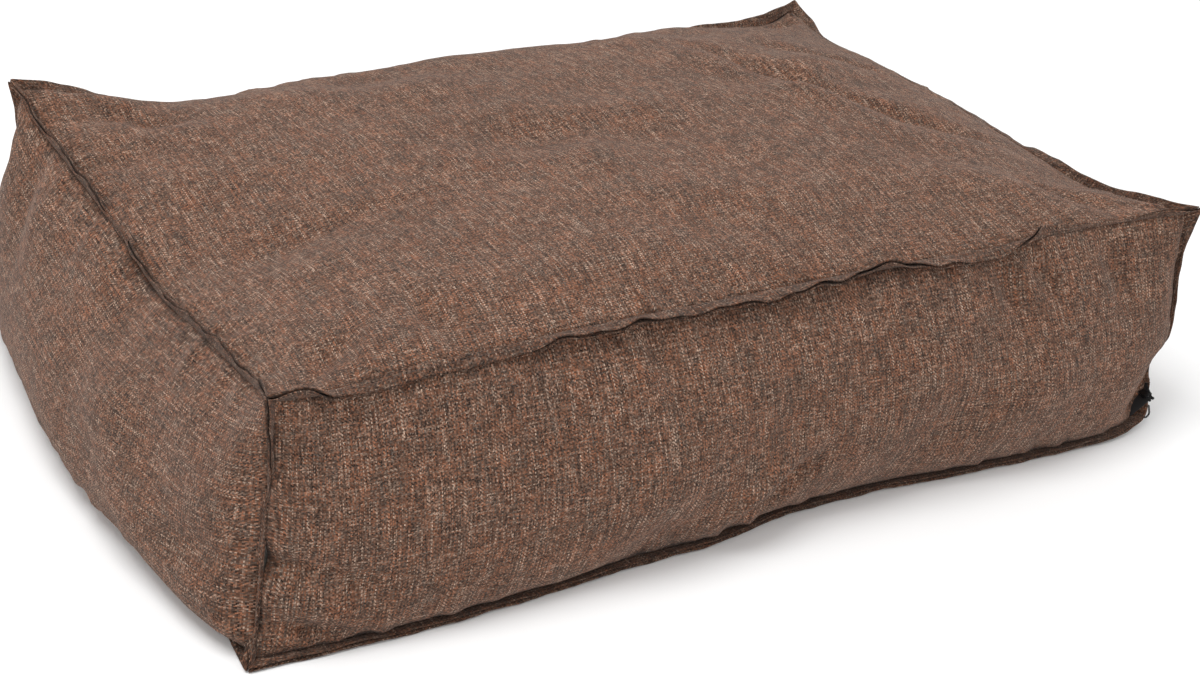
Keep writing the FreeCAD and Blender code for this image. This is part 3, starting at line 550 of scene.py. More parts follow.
for number, (grid, s, t) in enumerate(blank_parts):
    mark = grid.data.attributes.new("panel", "INT", "FACE")
    mark.data.foreach_set("value", [number] * len(grid.data.polygons))
    near_edge = np.minimum.reduce((s, 1 - s, t, 1 - t))
    held = grid.vertex_groups.new(name="held")
    held.add([int(i) for i in np.nonzero(near_edge < 1e-4)[0]], 1.0, "REPLACE")
    spare = grid.vertex_groups.new(name="spare")
    size = cut_size(grid.name.removesuffix("_cloth"))
    to_seam = np.minimum(np.minimum(s, 1 - s) * size[0], np.minimum(t, 1 - t) * size[1])
    for index, distance in enumerate(to_seam):
        spare.add([index], float(np.clip(1 - distance / spare_reach, 0, 1)), "REPLACE")

bpy.ops.object.select_all(action="DESELECT")
for grid, s, t in blank_parts:
    grid.select_set(True)
cover = blank_parts[-1][0]
bpy.context.view_layer.objects.active = cover
bpy.ops.object.join()
cover.name = "cover_blank"
bpy.ops.object.mode_set(mode="EDIT")
bpy.ops.mesh.select_all(action="SELECT")
bpy.ops.mesh.remove_doubles(threshold=0.0001)
bpy.ops.mesh.normals_make_consistent(inside=False)
bpy.ops.object.mode_set(mode="OBJECT")
top_faces = [face for face in cover.data.polygons if face.center.z > 0.25]
if sum(face.normal.z for face in top_faces) < 0:
    cover.data.flip_normals()
print("blank:", len(cover.data.vertices), "points")

# %% [markdown]
# ## Filling the cover
# Cloth simulation swells the panels between the seams, which are held. The cloth near the
# seams is cut a little longer than the seam that it is gathered to, so it puckers there as
# the sewn cover does. How far a point may travel is capped, so the bed keeps its size.

# %% Simulate, cap the movement and apply
before = read_points(cover)
cloth = cover.modifiers.new("Cloth", "CLOTH")
settings = cloth.settings
settings.quality = 8
settings.mass = 0.25
settings.tension_stiffness = settings.compression_stiffness = 40
settings.shear_stiffness = 5
settings.bending_stiffness = 0.5
settings.tension_damping = settings.compression_damping = settings.shear_damping = 5
settings.vertex_group_mass = "held"
settings.vertex_group_shrink = "spare"
settings.shrink_min = -0.004
settings.shrink_max = -0.045
settings.use_pressure = True
settings.uniform_pressure_force = 2.2
settings.effector_weights.gravity = 0.05
cloth.collision_settings.use_collision = False
frames = 26
cloth.point_cache.frame_end = frames + 1
for number in range(1, frames + 1):
    bpy.context.scene.frame_set(number)
bpy.ops.object.select_all(action="DESELECT")
cover.select_set(True)
bpy.context.view_layer.objects.active = cover
bpy.ops.object.modifier_apply(modifier="Cloth")
cap = 0.022
moved = read_points(cover) - before
distance = np.linalg.norm(moved, axis=1, keepdims=True)
points = before + moved * np.minimum(1, cap / np.maximum(distance, 1e-9))
points[:, 2] = np.maximum(points[:, 2], lowest_cloth)
points += pinch(points) * (distance > 1e-6)
write_points(cover, points)
print("cloth moved", round(float(distance.max()), 4), "m at most, mean", round(float(distance.mean()), 4))
print("crown", round(float(points[:, 2].max()), 4), "box", points.min(0).round(3), points.max(0).round(3))

# %% Split the cover into its panels, smooth them and give them their thickness
cloth_thick = 0.0014
panel_order = ("front_panel", "back_panel", "left_panel", "right_panel", "top_panel")


def panel_faces(thing, number):
    """Select the faces of one panel of a mesh in object mode, and nothing else."""
    marks = np.empty(len(thing.data.polygons), np.int32)
    thing.data.attributes["panel"].data.foreach_get("value", marks)
    thing.data.vertices.foreach_set("select", np.zeros(len(thing.data.vertices), bool))
    thing.data.edges.foreach_set("select", np.zeros(len(thing.data.edges), bool))
    thing.data.polygons.foreach_set("select", marks == number)


panels = {}
for number, name in enumerate(panel_order):
    piece = cover.copy()
    piece.data = cover.data.copy()
    piece.name = name + "_cloth"
    bpy.context.collection.objects.link(piece)
    bpy.ops.object.select_all(action="DESELECT")
    piece.select_set(True)
    bpy.context.view_layer.objects.active = piece
    panel_faces(piece, number)
    bpy.ops.object.mode_set(mode="EDIT")
    bpy.ops.mesh.select_mode(type="FACE")
    bpy.ops.mesh.select_all(action="INVERT")
    bpy.ops.mesh.delete(type="FACE")
    bpy.ops.object.mode_set(mode="OBJECT")
    piece.vertex_groups.clear()
    panels[name] = piece


def from_uv(piece, size, turned):
    """s and t of every point of a panel, from its UV map."""
    count = len(piece.data.loops)
    uv, index = np.empty(count * 2), np.empty(count, np.int32)
    piece.data.uv_layers[0].data.foreach_get("uv", uv)
    piece.data.loops.foreach_get("vertex_index", index)
    st = np.empty((len(piece.data.vertices), 2))
    st[index] = uv.reshape(-1, 2)[:, ::-1] if turned else uv.reshape(-1, 2)
    return np.clip((st / size).T, 0, 1)


def read_normals(thing):
    """The directions that the vertices of a mesh object face."""
    flat = np.empty(len(thing.data.vertices) * 3)
    thing.data.vertex_normals.foreach_get("vector", flat)
    return flat.reshape(-1, 3)


def pucker(s, t, size, seed, amount=0.0028):
    """Small gathers that run in from each seam and die out in the panel."""
    lift = np.zeros(len(s))
    for number, (near, run) in enumerate((
            (t * size[1], s * size[0]), ((1 - t) * size[1], s * size[0]),
            (s * size[0], t * size[1]), ((1 - s) * size[0], t * size[1]))):
        phase = seed + 2.3 * number
        bend = 0.012 * np.sin(near * 60 + phase)
        wave = ripple(run + bend, (0.034, 0.6, phase), (0.053, 0.7, 2 * phase), (0.021, 0.3, 3 * phase))
        strength = 0.55 + 0.45 * np.sin(run * 17 + phase)
        lift += amount * strength * wave * np.exp(-near / 0.030)
    border = np.minimum(np.minimum(s, 1 - s) * size[0], np.minimum(t, 1 - t) * size[1])
    return lift * np.clip(border / 0.006, 0, 1)


def rumple(s, t, size, seed):
    """Broad soft unevenness of the filling under the cloth."""
    x, y = s * size[0], t * size[1]
    soft = ripple(x + 0.3 * y, (0.31, 1.0, seed), (0.17, 0.5, 2 * seed))
    soft = soft * ripple(y - 0.2 * x, (0.27, 0.9, 3 * seed), (0.13, 0.6, seed + 1))
    rim = (4 * s * (1 - s)) ** 0.5 * (4 * t * (1 - t)) ** 0.5
    return 0.0045 * soft * rim


def press(points, normals, flat_axis, start, end, depth, width):
    """Sink a crease into the cloth between two places; a negative depth raises a ridge."""
    in_panel = np.ones(3)
    in_panel[flat_axis] = 0
    start, end = np.array(start) * in_panel, np.array(end) * in_panel
    line = end - start
    along_line = np.clip((points - start) @ line / (line @ line), 0, 1)
    away = np.linalg.norm(points * in_panel - start - line * along_line[:, None], axis=1)
    ends_soft = 0.35 + 0.65 * np.sin(math.pi * np.clip(along_line, 0, 1))
    return points - normals * (2.2 * depth * ends_soft * np.exp(-(away / width) ** 2))[:, None]


# Each crease: where it starts and ends, how deep it is and how wide, all in metres.
creases = {
    "top_panel": (
        ((0.21, 0.16, 0.26), (0.31, -0.09, 0.25), 0.0055, 0.016),
        ((0.18, 0.14, 0.26), (0.28, -0.11, 0.25), -0.0030, 0.020),
        ((0.22, 0.03, 0.26), (0.39, -0.13, 0.25), 0.0050, 0.014),
        ((0.30, 0.16, 0.25), (0.43, 0.05, 0.24), 0.0045, 0.014),
        ((0.36, 0.25, 0.25), (0.45, 0.31, 0.23), 0.0060, 0.018),
        ((-0.44, -0.30, 0.21), (-0.37, -0.24, 0.23), 0.0055, 0.014),
        ((-0.30, -0.30, 0.22), (-0.31, -0.20, 0.25), 0.0030, 0.012),
        ((-0.42, 0.28, 0.22), (-0.34, 0.20, 0.24), 0.0060, 0.018),
        ((0.41, -0.29, 0.22), (0.36, -0.22, 0.24), 0.0050, 0.014),
        ((0.05, 0.10, 0.27), (0.00, -0.08, 0.27), 0.0025, 0.026)),
    "front_panel": (
        ((-0.49, -0.37, 0.085), (-0.44, -0.38, 0.078), 0.0050, 0.010),
        ((-0.44, -0.38, 0.078), (-0.39, -0.37, 0.048), 0.0045, 0.012),
        ((-0.48, -0.36, 0.034), (-0.42, -0.37, 0.018), 0.0050, 0.009),
        ((0.04, -0.37, 0.078), (-0.05, -0.37, 0.028), 0.0060, 0.014),
        ((0.02, -0.37, 0.086), (-0.07, -0.37, 0.036), -0.0040, 0.014),
        ((0.25, -0.31, 0.215), (0.27, -0.35, 0.165), 0.0045, 0.011),
        ((0.29, -0.31, 0.215), (0.32, -0.35, 0.170), 0.0040, 0.010),
        ((0.38, -0.32, 0.215), (0.41, -0.36, 0.150), 0.0040, 0.013),
        ((-0.13, -0.31, 0.215), (-0.11, -0.35, 0.160), 0.0030, 0.014)),
    "left_panel": (
        ((-0.46, 0.26, 0.200), (-0.53, 0.20, 0.120), 0.0050, 0.020),
        ((-0.46, 0.05, 0.180), (-0.53, -0.06, 0.150), 0.0040, 0.018),
        ((-0.50, -0.31, 0.080), (-0.54, -0.22, 0.060), 0.0040, 0.016)),
    "back_panel": (
        ((-0.20, 0.36, 0.100), (-0.05, 0.37, 0.045), 0.0050, 0.015),
        ((0.30, 0.32, 0.210), (0.27, 0.36, 0.150), 0.0045, 0.012)),
    "right_panel": (
        ((0.47, 0.20, 0.200), (0.52, 0.15, 0.130), 0.0050, 0.016),
        ((0.47, -0.10, 0.200), (0.52, -0.13, 0.130), 0.0040, 0.014))}
deepest_crease = 0.011
for number, (name, piece) in enumerate(panels.items()):
    finish_modifier(piece, "SUBSURF", levels=1, render_levels=1, boundary_smooth="PRESERVE_CORNERS")
    is_long = panel_sides[name][0] == "long"
    size = cut_size(name)
    s, t = from_uv(piece, size, turned=not is_long)
    lift = pucker(s, t, size, 1.7 * number) + rumple(s, t, size, 0.9 * number)
    normals = read_normals(piece)
    shaped = read_points(piece) + normals * lift[:, None]
    flat_axis = 2 if name == "top_panel" else int(is_long)
    uncreased = shaped
    for crease in creases[name]:
        shaped = press(shaped, normals, flat_axis, *crease)
    crease_lift = ((shaped - uncreased) * normals).sum(axis=1)
    shaped = uncreased + normals * np.maximum(crease_lift, -deepest_crease)[:, None]
    shaped[:, 2] = np.maximum(shaped[:, 2], lowest_cloth)
    write_points(piece, shaped)
    finish_modifier(piece, "SOLIDIFY", thickness=cloth_thick, offset=-1, use_even_offset=False)
    finish_piece(piece, name, cover_cloth)
    print(name, len(piece.data.polygons), "faces")

# %% [markdown]
# ## The flange along every seam
# The panels are not sewn edge to edge: each seam keeps its two raw edges turned in and
# stitched as a flat flange, two layers of cloth with a groove between them. Where nothing
# presses on it the flange stands out between its two panels, and where it has been sat on it
# lies over one of them. A flange is modelled as two narrow grids whose rows follow the seam.

# %% Which way is out of a seam
centres = np.array([face.center[:] for face in cover.data.polygons])
marks = np.empty(len(centres), np.int32)
cover.data.attributes["panel"].data.foreach_get("value", marks)
into = np.zeros((len(panel_order), len(points), 3))
for face, centre, mark in zip(cover.data.polygons, centres, marks):
    for index in face.vertices:
        into[mark, index] += centre - points[index]
tree_of_points = KDTree(len(points))
for index, point in enumerate(points):
    tree_of_points.insert(point, index)
tree_of_points.balance()


def unit(vectors):
    """The same directions at length 1."""
    return vectors / np.maximum(np.linalg.norm(vectors, axis=-1, keepdims=True), 1e-9)


def direction_into(panel, line):
    """For points of a seam, the direction that a panel leaves it in, evened out along it."""
    number = panel_order.index(panel)
    found = np.array([into[number, tree_of_points.find(point)[1]] for point in line])
    near = np.ones(9) / 9
    padded_rows = np.pad(unit(found), ((4, 4), (0, 0)), mode="edge")
    smooth = np.stack([np.convolve(padded_rows[:, axis], near, "valid") for axis in range(3)], axis=1)
    return unit(smooth)


# %% One flange: two lips of cloth and, between them, the groove
strips = {}
lip_thick = 0.0015
lip_root, lip_gap, narrowest_gap, lowest_lip = 0.0007, 0.0013, -0.0005, 0.0003
tip_reach = 0.030
lip_rows = np.array((-0.35, 0.0, 0.3, 0.65, 1.0))


def make_lip(line, out, wide, across, side, gap):
    """One layer of a flange as a grid laid along its seam."""
    count = len(line) - 1
    grid, s, t = add_grid("lip", (count, len(lip_rows) - 1), (1, 1))
    run = np.concatenate(((0,), np.cumsum(np.linalg.norm(np.diff(line, axis=0), axis=1))))
    step = np.rint(s * count).astype(int)
    row = lip_rows[np.rint(t * (len(lip_rows) - 1)).astype(int)]
    lift = side * (lip_root + gap[step] * np.clip(row, 0, 1) ** 1.5)
    reach_out = np.where(row[:, None] > 0, wide[step] * row[:, None], out[step] * (flange * row[:, None]))
    shaped = line[step] + reach_out + across[step] * lift[:, None]
    write_points(grid, shaped)
    uv = grid.data.uv_layers[0]
    flat = np.empty(len(uv.data) * 2)
    uv.data.foreach_get("uv", flat)
    flat = flat.reshape(-1, 2) * (run[-1], flange * 1.35)
    uv.data.foreach_set("uv", (flat + (0.0, 0.31 + 0.17 * side)).ravel())
    return grid


def make_flange(node, line, panel_a, panel_b, lie, tips, seed, level=False, wide_by=((0, 1), (1, 1))):
    """A flange. lie turns it from panel_b, at -1, over its middle, at 0, to panel_a, at 1."""
    t = np.linspace(0, 1, len(line))
    run = np.concatenate(((0,), np.cumsum(np.linalg.norm(np.diff(line, axis=0), axis=1))))
    a = direction_into(panel_a, line) if panel_a else None
    b = direction_into(panel_b, line) if panel_b else None
    if level:
        out = unit(np.cross(unit(np.gradient(line, axis=0)), (0, 0, 1)))
        out *= np.sign((out * line).sum(axis=1))[:, None]
        out[:, 2] = 0
        turned = unit(out + np.array((0, 0, 1)) * (0.06 + ripple(run, (0.11, 0.05, seed)))[:, None])
    else:
        out = unit(-(a + b))
        amount = through(lie, t) + ripple(run, (0.083, 0.10, seed), (0.037, 0.06, 2 * seed))
        angle = np.radians(72) * np.clip(amount, -1.05, 1.05)
        to = np.where(angle[:, None] > 0, a, b)
        turned = unit(out * np.cos(angle)[:, None] + to * np.abs(np.sin(angle))[:, None])
    width = flange * through(wide_by, t) * (1 + ripple(run, (0.061, 0.05, 3 * seed)))
    wide = turned * width[:, None]
    for tip, distance in ((tips[0], run), (tips[1], run[-1] - run)):
        if tip is None:
            continue
        near = np.clip(1 - distance / tip_reach, 0, 1)
        near = (near * near * (3 - 2 * near))[:, None]
        wide = wide * (1 - near) + np.array(tip) * near
    across = unit(np.cross(np.gradient(line, axis=0), wide))
    wobble = ripple(run, (0.047, 0.0005, seed), (0.019, 0.0004, 5 * seed))
    gap = lip_gap + np.maximum(wobble, narrowest_gap)
    lips = [make_lip(line, out, wide, across, side, gap) for side in (-1, 1)]
    bpy.ops.object.select_all(action="DESELECT")
    for lip in lips:
        lip.select_set(True)
    piece = lips[0]
    bpy.context.view_layer.objects.active = piece
    bpy.ops.object.join()
    finish_modifier(piece, "SOLIDIFY", thickness=lip_thick, offset=0)
    finish_modifier(piece, "SUBSURF", levels=1, render_levels=1)
    settled = read_points(piece)
    settled[:, 2] = np.maximum(settled[:, 2], lowest_lip)
    write_points(piece, settled)
    piece.name = node + "_cloth"
    # The flange's darker cloth is painted shade for its folds.
    finish_piece(piece, node, flange_cloth_with_painted_shade)
    strips[node] = (line, wide, across, gap)
    return piece


# %% The eleven flanges
long_t, short_t, tall_t = (np.linspace(0, 1, 2 * squares[name] + 1) for name in ("long", "short", "tall"))
ear_reach = reach * 1.15


def ear_way(side_x, side_y):
    """From the middle of an upper corner to the point of its ear."""
    return (side_x * ear_reach, side_y * ear_reach, ear_reach * 0.8)


def foot_way(side_x, side_y):
    """From the middle of a lower corner to the point of its foot."""
    if (side_x, side_y) == (1, -1):
        return (0.003, -0.003, 0.001)
    return (side_x * flange, side_y * flange, 0.0)


make_flange(
    "flange_top_front", top_seam("front", long_t), "top_panel", "front_panel",
    ((0, 0.2), (0.03, 0.1), (0.055, -0.5), (0.3, -0.55), (0.55, -0.5), (0.60, -0.2), (0.80, -0.15),
     (0.83, 0.9), (0.86, 0.95), (0.94, 0.6), (1, 0)), (ear_way(-1, -1), ear_way(1, -1)), 1.0,
    wide_by=((0, 1), (0.78, 1.1), (0.84, 0.9), (0.88, 0.22), (0.95, 0.25), (1, 1)))
make_flange(
    "flange_top_back", top_seam("back", long_t), "top_panel", "back_panel",
    ((0, 0.3), (0.07, -0.6), (0.5, -0.6), (0.72, -0.35), (1, 0.3)), (ear_way(-1, 1), ear_way(1, 1)), 2.1)
make_flange(
    "flange_top_left", top_seam("left", short_t), "top_panel", "left_panel",
    ((0, 0), (0.1, 0.2), (0.5, 0.15), (0.9, 0.2), (1, 0)), (ear_way(-1, -1), ear_way(-1, 1)), 3.3)
make_flange(
    "flange_top_right", top_seam("right", short_t), "top_panel", "right_panel",
    ((0, 0), (0.1, 0.1), (0.22, 0), (0.34, -0.95), (0.9, -0.95), (1, 0)),
    (ear_way(1, -1), ear_way(1, 1)), 4.7)
corner_lie = {
    (-1, -1): ((0, 0.4), (0.1, 0.55), (0.42, 0.6), (0.60, 0.0), (1, 0)),
    (1, -1): ((0, 0.3), (0.12, 0.25), (0.3, -0.05), (0.8, 0), (1, 0)),
    (-1, 1): ((0, 0.2), (0.4, -0.4), (0.8, -0.2), (1, 0)),
    (1, 1): ((0, 0.2), (0.3, 0.4), (0.7, 0.5), (1, 0))}
for number, ((side_x, side_y), lie) in enumerate(corner_lie.items()):
    x_name, y_name = ("left", "right")[side_x > 0], ("front", "back")[side_y > 0]
    make_flange(
        f"flange_corner_{y_name}_{x_name}", corner_seam(side_x, side_y, tall_t),
        x_name + "_panel", y_name + "_panel", lie,
        (foot_way(side_x, side_y), ear_way(side_x, side_y)), 5.9 + number)
for number, (side, t) in enumerate((("front", long_t), ("back", long_t), ("left", short_t))):
    first, second = ends(side)
    make_flange(
        f"flange_bottom_{side}", floor_seam(side, t), None, None, None,
        (foot_way(*first), foot_way(*second)), 9.2 + number, level=True)
print("flanges:", len(strips))

# %% [markdown]
# ## The underside
# The panel that the bed lies on is pressed flat, so it is a plain grid laid on the floor. At
# the +X end it curves up to the zip, which keeps the teeth clear of the floor.

# %% Underside panel
grid, s, t = add_grid("bottom_panel_cloth", (squares["long"], squares["short"]), (cut["long"], cut["short"]))
zip_t = (rise_end + foot[0]) / (2 * foot[0])


def underside_edge(side):
    """The part of a long lower seam that the underside reaches."""
    return lambda a: floor_seam(side, a * zip_t)


def zip_edge(t):
    """The straight edge that the zip is sewn to."""
    return straight(underside_edge("front")(np.ones(1))[0], underside_edge("back")(np.ones(1))[0], t)


underside_lift = 0.0016


def underside_height(points):
    """How high the underside lies at given places: it stays low near its long seams."""
    from_seam = np.clip((foot[1] - np.abs(points[:, 1])) / 0.06, 0, 1)
    lift = from_seam + (1 - from_seam) * edge_lift(points[:, 0])
    return underside_lift + underside(points[:, 0]) * lift


points = patch(
    underside_edge("front"), underside_edge("back"), lambda a: floor_seam("left", a), zip_edge, s, t)
points[:, 2] = underside_height(points)
write_points(grid, points)
finish_modifier(grid, "SOLIDIFY", thickness=cloth_thick, offset=0)
finish_piece(grid, "bottom_panel", cover_cloth)
print("underside:", len(grid.data.polygons), "faces")

# %% [markdown]
# ## Stitches
# Sewing thread holds each flange together in one row of short stitches. Drawing them in the
# material would leave them flat, and a long thread would not show where it dives into the
# cloth. So one stitch is modelled, a stretched bead, and it is laid along both faces.

# %% Materials for thread, zip and inner cushion
def mottled_material(name, colour_a, colour_b, scale, roughness, bump, **shader_values):
    """A plain material whose colour and surface vary finely."""
    material, tree, shader = new_material(name, roughness, **shader_values)
    where = place(tree, "TexCoord", {}).node.outputs["Object"]
    cloud = place(tree, "TexNoise", {"Vector": where, "Scale": scale, "Detail": 4.0})
    tree.links.new(mix_colours(tree, ramp(tree, cloud, 0.35, 0.65), (*colour_a, 1), (*colour_b, 1)),
                   shader.inputs["Base Color"])
    rough = ramp(tree, cloud, 0.3, 0.7, roughness - 0.08, roughness + 0.08)
    tree.links.new(rough, shader.inputs["Roughness"])
    tree.links.new(place(tree, "Bump", {"Strength": 0.5, "Distance": bump, "Height": cloud}),
                   shader.inputs["Normal"])
    return material


thread = mottled_material("twisted thread", (0.07, 0.042, 0.032), (0.14, 0.085, 0.065), 2500, 0.7, 0.0001)
tape_black = mottled_material(
    "woven zip tape", (0.010, 0.010, 0.011), (0.022, 0.021, 0.022), 1400, 0.85, 0.0001)
coil_black = mottled_material("nylon coil", (0.008, 0.008, 0.009), (0.016, 0.016, 0.017), 600, 0.38, 0.00003)
enamel = mottled_material(
    "black enamelled zinc", (0.008, 0.008, 0.009), (0.018, 0.018, 0.019), 900, 0.32, 0.00003,
    Metallic=0.35)
case_white = mottled_material(
    "unbleached inner cloth", (0.72, 0.69, 0.62), (0.80, 0.78, 0.72), 700, 0.9, 0.0003)
fibre_white = mottled_material(
    "hollow fibre filling", (0.82, 0.82, 0.80), (0.90, 0.90, 0.88), 160, 0.95, 0.002)
print("materials:", [material.name for material in bpy.data.materials if material.users])

# %% One stitch, laid along every flange
bpy.ops.object.select_all(action="DESELECT")
bpy.ops.mesh.primitive_uv_sphere_add(segments=6, ring_count=4, radius=1, rotation=(0, math.pi / 2, 0))
bead = bpy.context.object
bpy.ops.object.transform_apply(location=False, rotation=True, scale=False)
stitch_half_sizes = (0.00165, 0.00034, 0.00026)
bead_points = read_points(bead) * stitch_half_sizes
bead_faces = [tuple(face.vertices) for face in bead.data.polygons]
stitch_pitch, stitch_row, stitch_end, proud_by = 0.0042, 0.36, 0.014, 0.0001
slider_clearance = 0.035
spots, turns = [], []
for line, wide, across, gap in strips.values():
    run = np.concatenate(((0,), np.cumsum(np.linalg.norm(np.diff(line, axis=0), axis=1))))
    at = np.arange(stitch_end, run[-1] - stitch_end, stitch_pitch)

    def read(rows):
        return np.stack([np.interp(at, run, rows[:, axis]) for axis in range(3)], axis=1)

    seam_way, over_way, out_way = unit(read(np.gradient(line, axis=0))), unit(read(across)), read(wide)
    lift = lip_root + np.interp(at, run, gap) * stitch_row ** 1.5 + lip_thick / 2 + proud_by
    for side in (-1, 1):
        spots.append(read(line) + out_way * stitch_row + over_way * (side * lift)[:, None])
        turns.append(np.stack((seam_way, unit(np.cross(over_way, seam_way)), over_way), axis=1))
spots, turns = np.concatenate(spots), np.concatenate(turns)
clear = np.linalg.norm(spots - zip_foot, axis=1) > slider_clearance
spots, turns = spots[clear], turns[clear]
laid = (spots[:, None, :] + np.einsum("vk,nkj->nvj", bead_points, turns)).reshape(-1, 3)
laid_faces = [tuple(corner_index + n * len(bead_points) for corner_index in face)
              for n in range(len(spots)) for face in bead_faces]
stitch_mesh = bpy.data.meshes.new("topstitching_thread")
stitch_mesh.from_pydata(laid.tolist(), [], laid_faces)
stitches = bpy.data.objects.new("topstitching_thread", stitch_mesh)
bpy.context.collection.objects.link(stitches)
bpy.data.objects.remove(bead)
finish_piece(stitches, "topstitching", thread)
print("stitches:", len(spots))

# %% [markdown]
# ## The zip
# A coil zip closes the end seam: two tapes, two rows of nylon coil, three stops, a slider and
# its pull. The tapes are sewn to panels that move with the cloth, so each tape is a grid
# between its row of teeth and the edge that it is sewn to. One turn of the coil is a small
# ring, and an Array modifier repeats it along the tape.

# %% Where the zip lies
zip_tilt = math.radians(20)
zip_across = np.array((math.cos(zip_tilt), 0, math.sin(zip_tilt)))
zip_inwards = np.array((-zip_across[2], 0, zip_across[0]))
zip_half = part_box("zip_tape_upper")[1][1]
zip_middle = (np.array(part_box("zip_tape_upper")[0]) + np.array(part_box("zip_tape_lower")[1])) / 2
zip_middle[1] = 0
print("zip middle", zip_middle.round(6), "half length", round(zip_half, 4))


def in_zip(across_by, along_by, deep=0.0):
    """A place given across, along and into the zip."""
    return zip_middle + zip_across * across_by + np.array((0, 1, 0)) * along_by + zip_inwards * deep


# %% Tapes
tape_squares, tape_wide, tape_thick, coil_gap = 160, 0.015, 0.0007, 0.001
tape_t = np.linspace(0.0, 1.0, tape_squares + 1)
low_edge = zip_edge(tape_t)
low_edge[:, 2] = underside_height(low_edge)
sewn_edges = {
    "upper": (1, floor_seam("right", tape_t) + np.array((-0.0006, 0, 0.0012))),
    "lower": (-1, low_edge + np.array((-0.0015, 0, 0.0010)))}
for name, (side, edge) in sewn_edges.items():
    tape, s, t = add_grid(
        f"zip_tape_{name}_woven", (tape_squares, 8), (2 * zip_half, tape_wide))
    step = np.rint(s * tape_squares).astype(int)
    teeth_edge = np.array([in_zip(side * coil_gap, (2 * a - 1) * zip_half) for a in tape_t])
    write_points(tape, teeth_edge[step] * (1 - t[:, None]) + edge[step] * t[:, None])
    finish_modifier(tape, "SOLIDIFY", thickness=tape_thick, offset=0)
    finish_modifier(tape, "BEVEL", width=0.00015, segments=2, limit_method="ANGLE")
    finish_piece(tape, "zip_tape_" + name, tape_black)
print("zip tapes made")

# %% Coils
coil_pitch, coil_ring, coil_wire = 0.0016, 0.0008, 0.00035
coil_across, coil_deep, coil_start, coil_short = 0.002, -0.0016, 0.0065, 0.016
for name, side in (("upper", 1), ("lower", -1)):
    bpy.ops.object.select_all(action="DESELECT")
    bpy.ops.mesh.primitive_torus_add(
        major_radius=coil_ring, minor_radius=coil_wire, major_segments=10, minor_segments=5,
        rotation=(math.pi / 2, 0, math.radians(14 * side)))
    coil = bpy.context.object
    bpy.ops.object.transform_apply(location=False, rotation=True, scale=False)
    coil.name = f"zip_coil_{name}_turns"
    half_turn_on = coil_pitch / 2 if side > 0 else 0
    start = in_zip(side * coil_across, coil_start - zip_half + half_turn_on, coil_deep)
    write_points(coil, read_points(coil) + start)
    finish_modifier(
        coil, "ARRAY", count=int((2 * zip_half - coil_short) / coil_pitch),
        use_relative_offset=False, use_constant_offset=True,
        constant_offset_displace=(0, coil_pitch, 0))
    finish_piece(coil, "zip_coil_" + name, coil_black)
    print(coil.name, len(coil.data.polygons), "faces")

# %% [markdown]
# ## The cast parts of the zip
# The slider, its pull and the stops already have their true shapes in the frame, but cast
# zinc under enamel has no sharp edges. Each one is copied, its loose triangles are merged,
# and a bevel rounds its edges, so that they catch the light.

# %% Slider, pull and stops
cast_edge = math.radians(40)
for node, body in (("zip_slider", "slider"), ("zip_pull", "pull"), ("zip_stops", "root")):
    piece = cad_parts[node].copy()
    piece.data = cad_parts[node].data.copy()
    piece.name = node + "_cast"
    piece.parent = None
    bpy.context.collection.objects.link(piece)
    piece.matrix_world = Matrix.Identity(4)
    bpy.ops.object.select_all(action="DESELECT")
    piece.select_set(True)
    bpy.context.view_layer.objects.active = piece
    bpy.ops.object.mode_set(mode="EDIT")
    bpy.ops.mesh.select_all(action="SELECT")
    bpy.ops.mesh.remove_doubles(threshold=0.000005)
    bpy.ops.mesh.dissolve_limited(angle_limit=math.radians(2))
    bpy.ops.object.mode_set(mode="OBJECT")
    finish_modifier(
        piece, "BEVEL", width=0.00018, segments=2, limit_method="ANGLE", angle_limit=cast_edge)
    bpy.ops.object.shade_smooth_by_angle(angle=cast_edge)
    finish_piece(piece, node, enamel, body, smooth=False)
    print(piece.name, len(piece.data.polygons), "faces")

# %% [markdown]
# ## The inner cushion
# Inside the cover lies a closed cushion of plain cloth with hollow fibre in it. It is made
# from the swollen cover: closed underneath, shrunk, remeshed and smoothed, once for the
# filling and once for each half of its case. The case stays nearly two centimetres inside
# the cover, deeper than a real one, so that the cover's creases do not reach it.

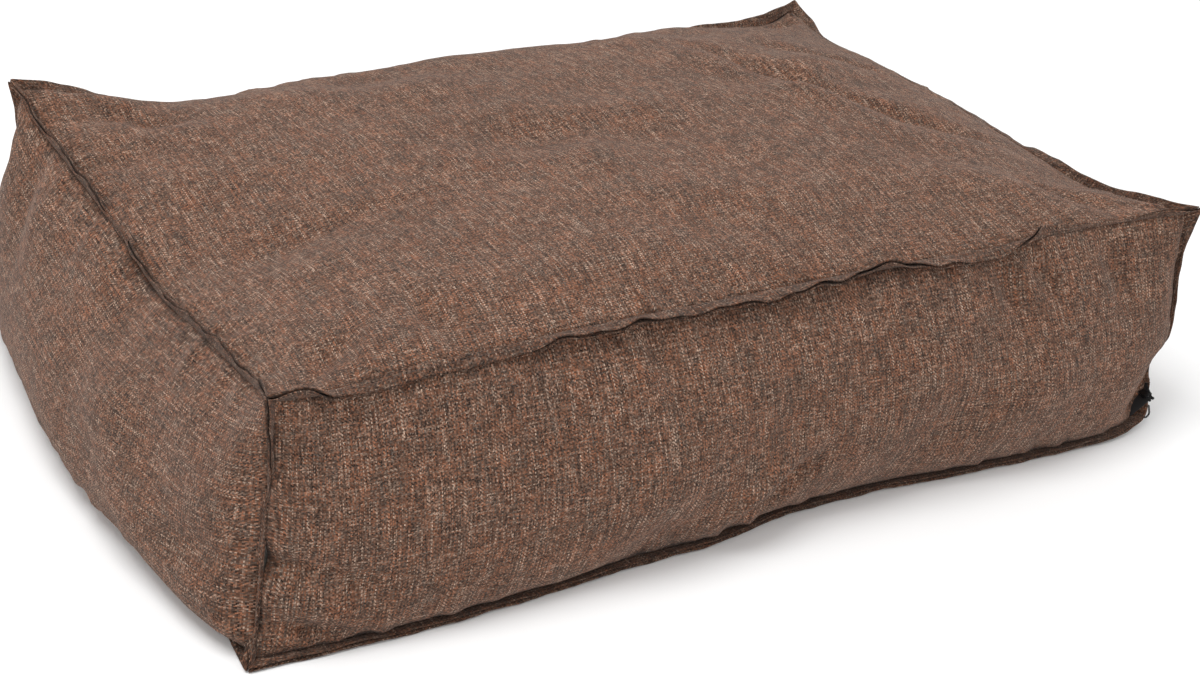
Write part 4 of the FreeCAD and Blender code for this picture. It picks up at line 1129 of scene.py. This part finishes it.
# %% Filling and its case
def shrunk_body(name, inset, voxel):
    """A closed copy of the cover, inset from it and remeshed evenly."""
    body = cover.copy()
    body.data = cover.data.copy()
    body.name = name
    bpy.context.collection.objects.link(body)
    bpy.ops.object.select_all(action="DESELECT")
    body.select_set(True)
    bpy.context.view_layer.objects.active = body
    bpy.ops.object.mode_set(mode="EDIT")
    bpy.ops.mesh.select_mode(type="VERT")
    bpy.ops.mesh.select_all(action="DESELECT")
    bpy.ops.mesh.select_non_manifold()
    bpy.ops.mesh.edge_face_add()
    bpy.ops.mesh.select_all(action="SELECT")
    bpy.ops.mesh.normals_make_consistent(inside=False)
    bpy.ops.object.mode_set(mode="OBJECT")
    body.data.materials.clear()
    finish_modifier(body, "REMESH", mode="VOXEL", voxel_size=voxel)
    finish_modifier(body, "SMOOTH", factor=0.5, iterations=6)
    shaped = read_points(body) - read_normals(body) * inset
    shaped[:, 2] = np.maximum(shaped[:, 2], 0.0045 + underside(shaped[:, 0]) * 1.05)
    write_points(body, shaped)
    finish_modifier(body, "SMOOTH", factor=0.5, iterations=4)
    return body


filling_inset, case_inset, voxel, case_thick = 0.0235, 0.018, 0.012, 0.0008
filling = shrunk_body("hollow_fibre_filling", filling_inset, voxel)
lumps = read_points(filling)
uneven = ripple(lumps[:, 0], (0.07, 1, 0.4)) * ripple(lumps[:, 1], (0.06, 1, 1.3))
uneven = uneven * ripple(lumps[:, 2], (0.05, 1, 2))
write_points(filling, lumps + read_normals(filling) * (0.0015 * uneven - 0.001)[:, None])
finish_piece(filling, "filling", fibre_white)
case_split = 0.110
for half, keep_above in (("top", True), ("bottom", False)):
    case = shrunk_body(f"inner_case_{half}_cloth", case_inset, voxel)
    bpy.ops.object.mode_set(mode="EDIT")
    bpy.ops.mesh.select_all(action="SELECT")
    bpy.ops.mesh.bisect(plane_co=(0, 0, case_split), plane_no=(0, 0, 1),
                        clear_inner=keep_above, clear_outer=not keep_above)
    bpy.ops.object.mode_set(mode="OBJECT")
    finish_modifier(case, "SOLIDIFY", thickness=case_thick, offset=-1)
    finish_piece(case, "inner_case_" + half, case_white)
    print(case.name, "area", round(sum(face.area for face in case.data.polygons) / 2, 3))
bpy.data.objects.remove(cover)
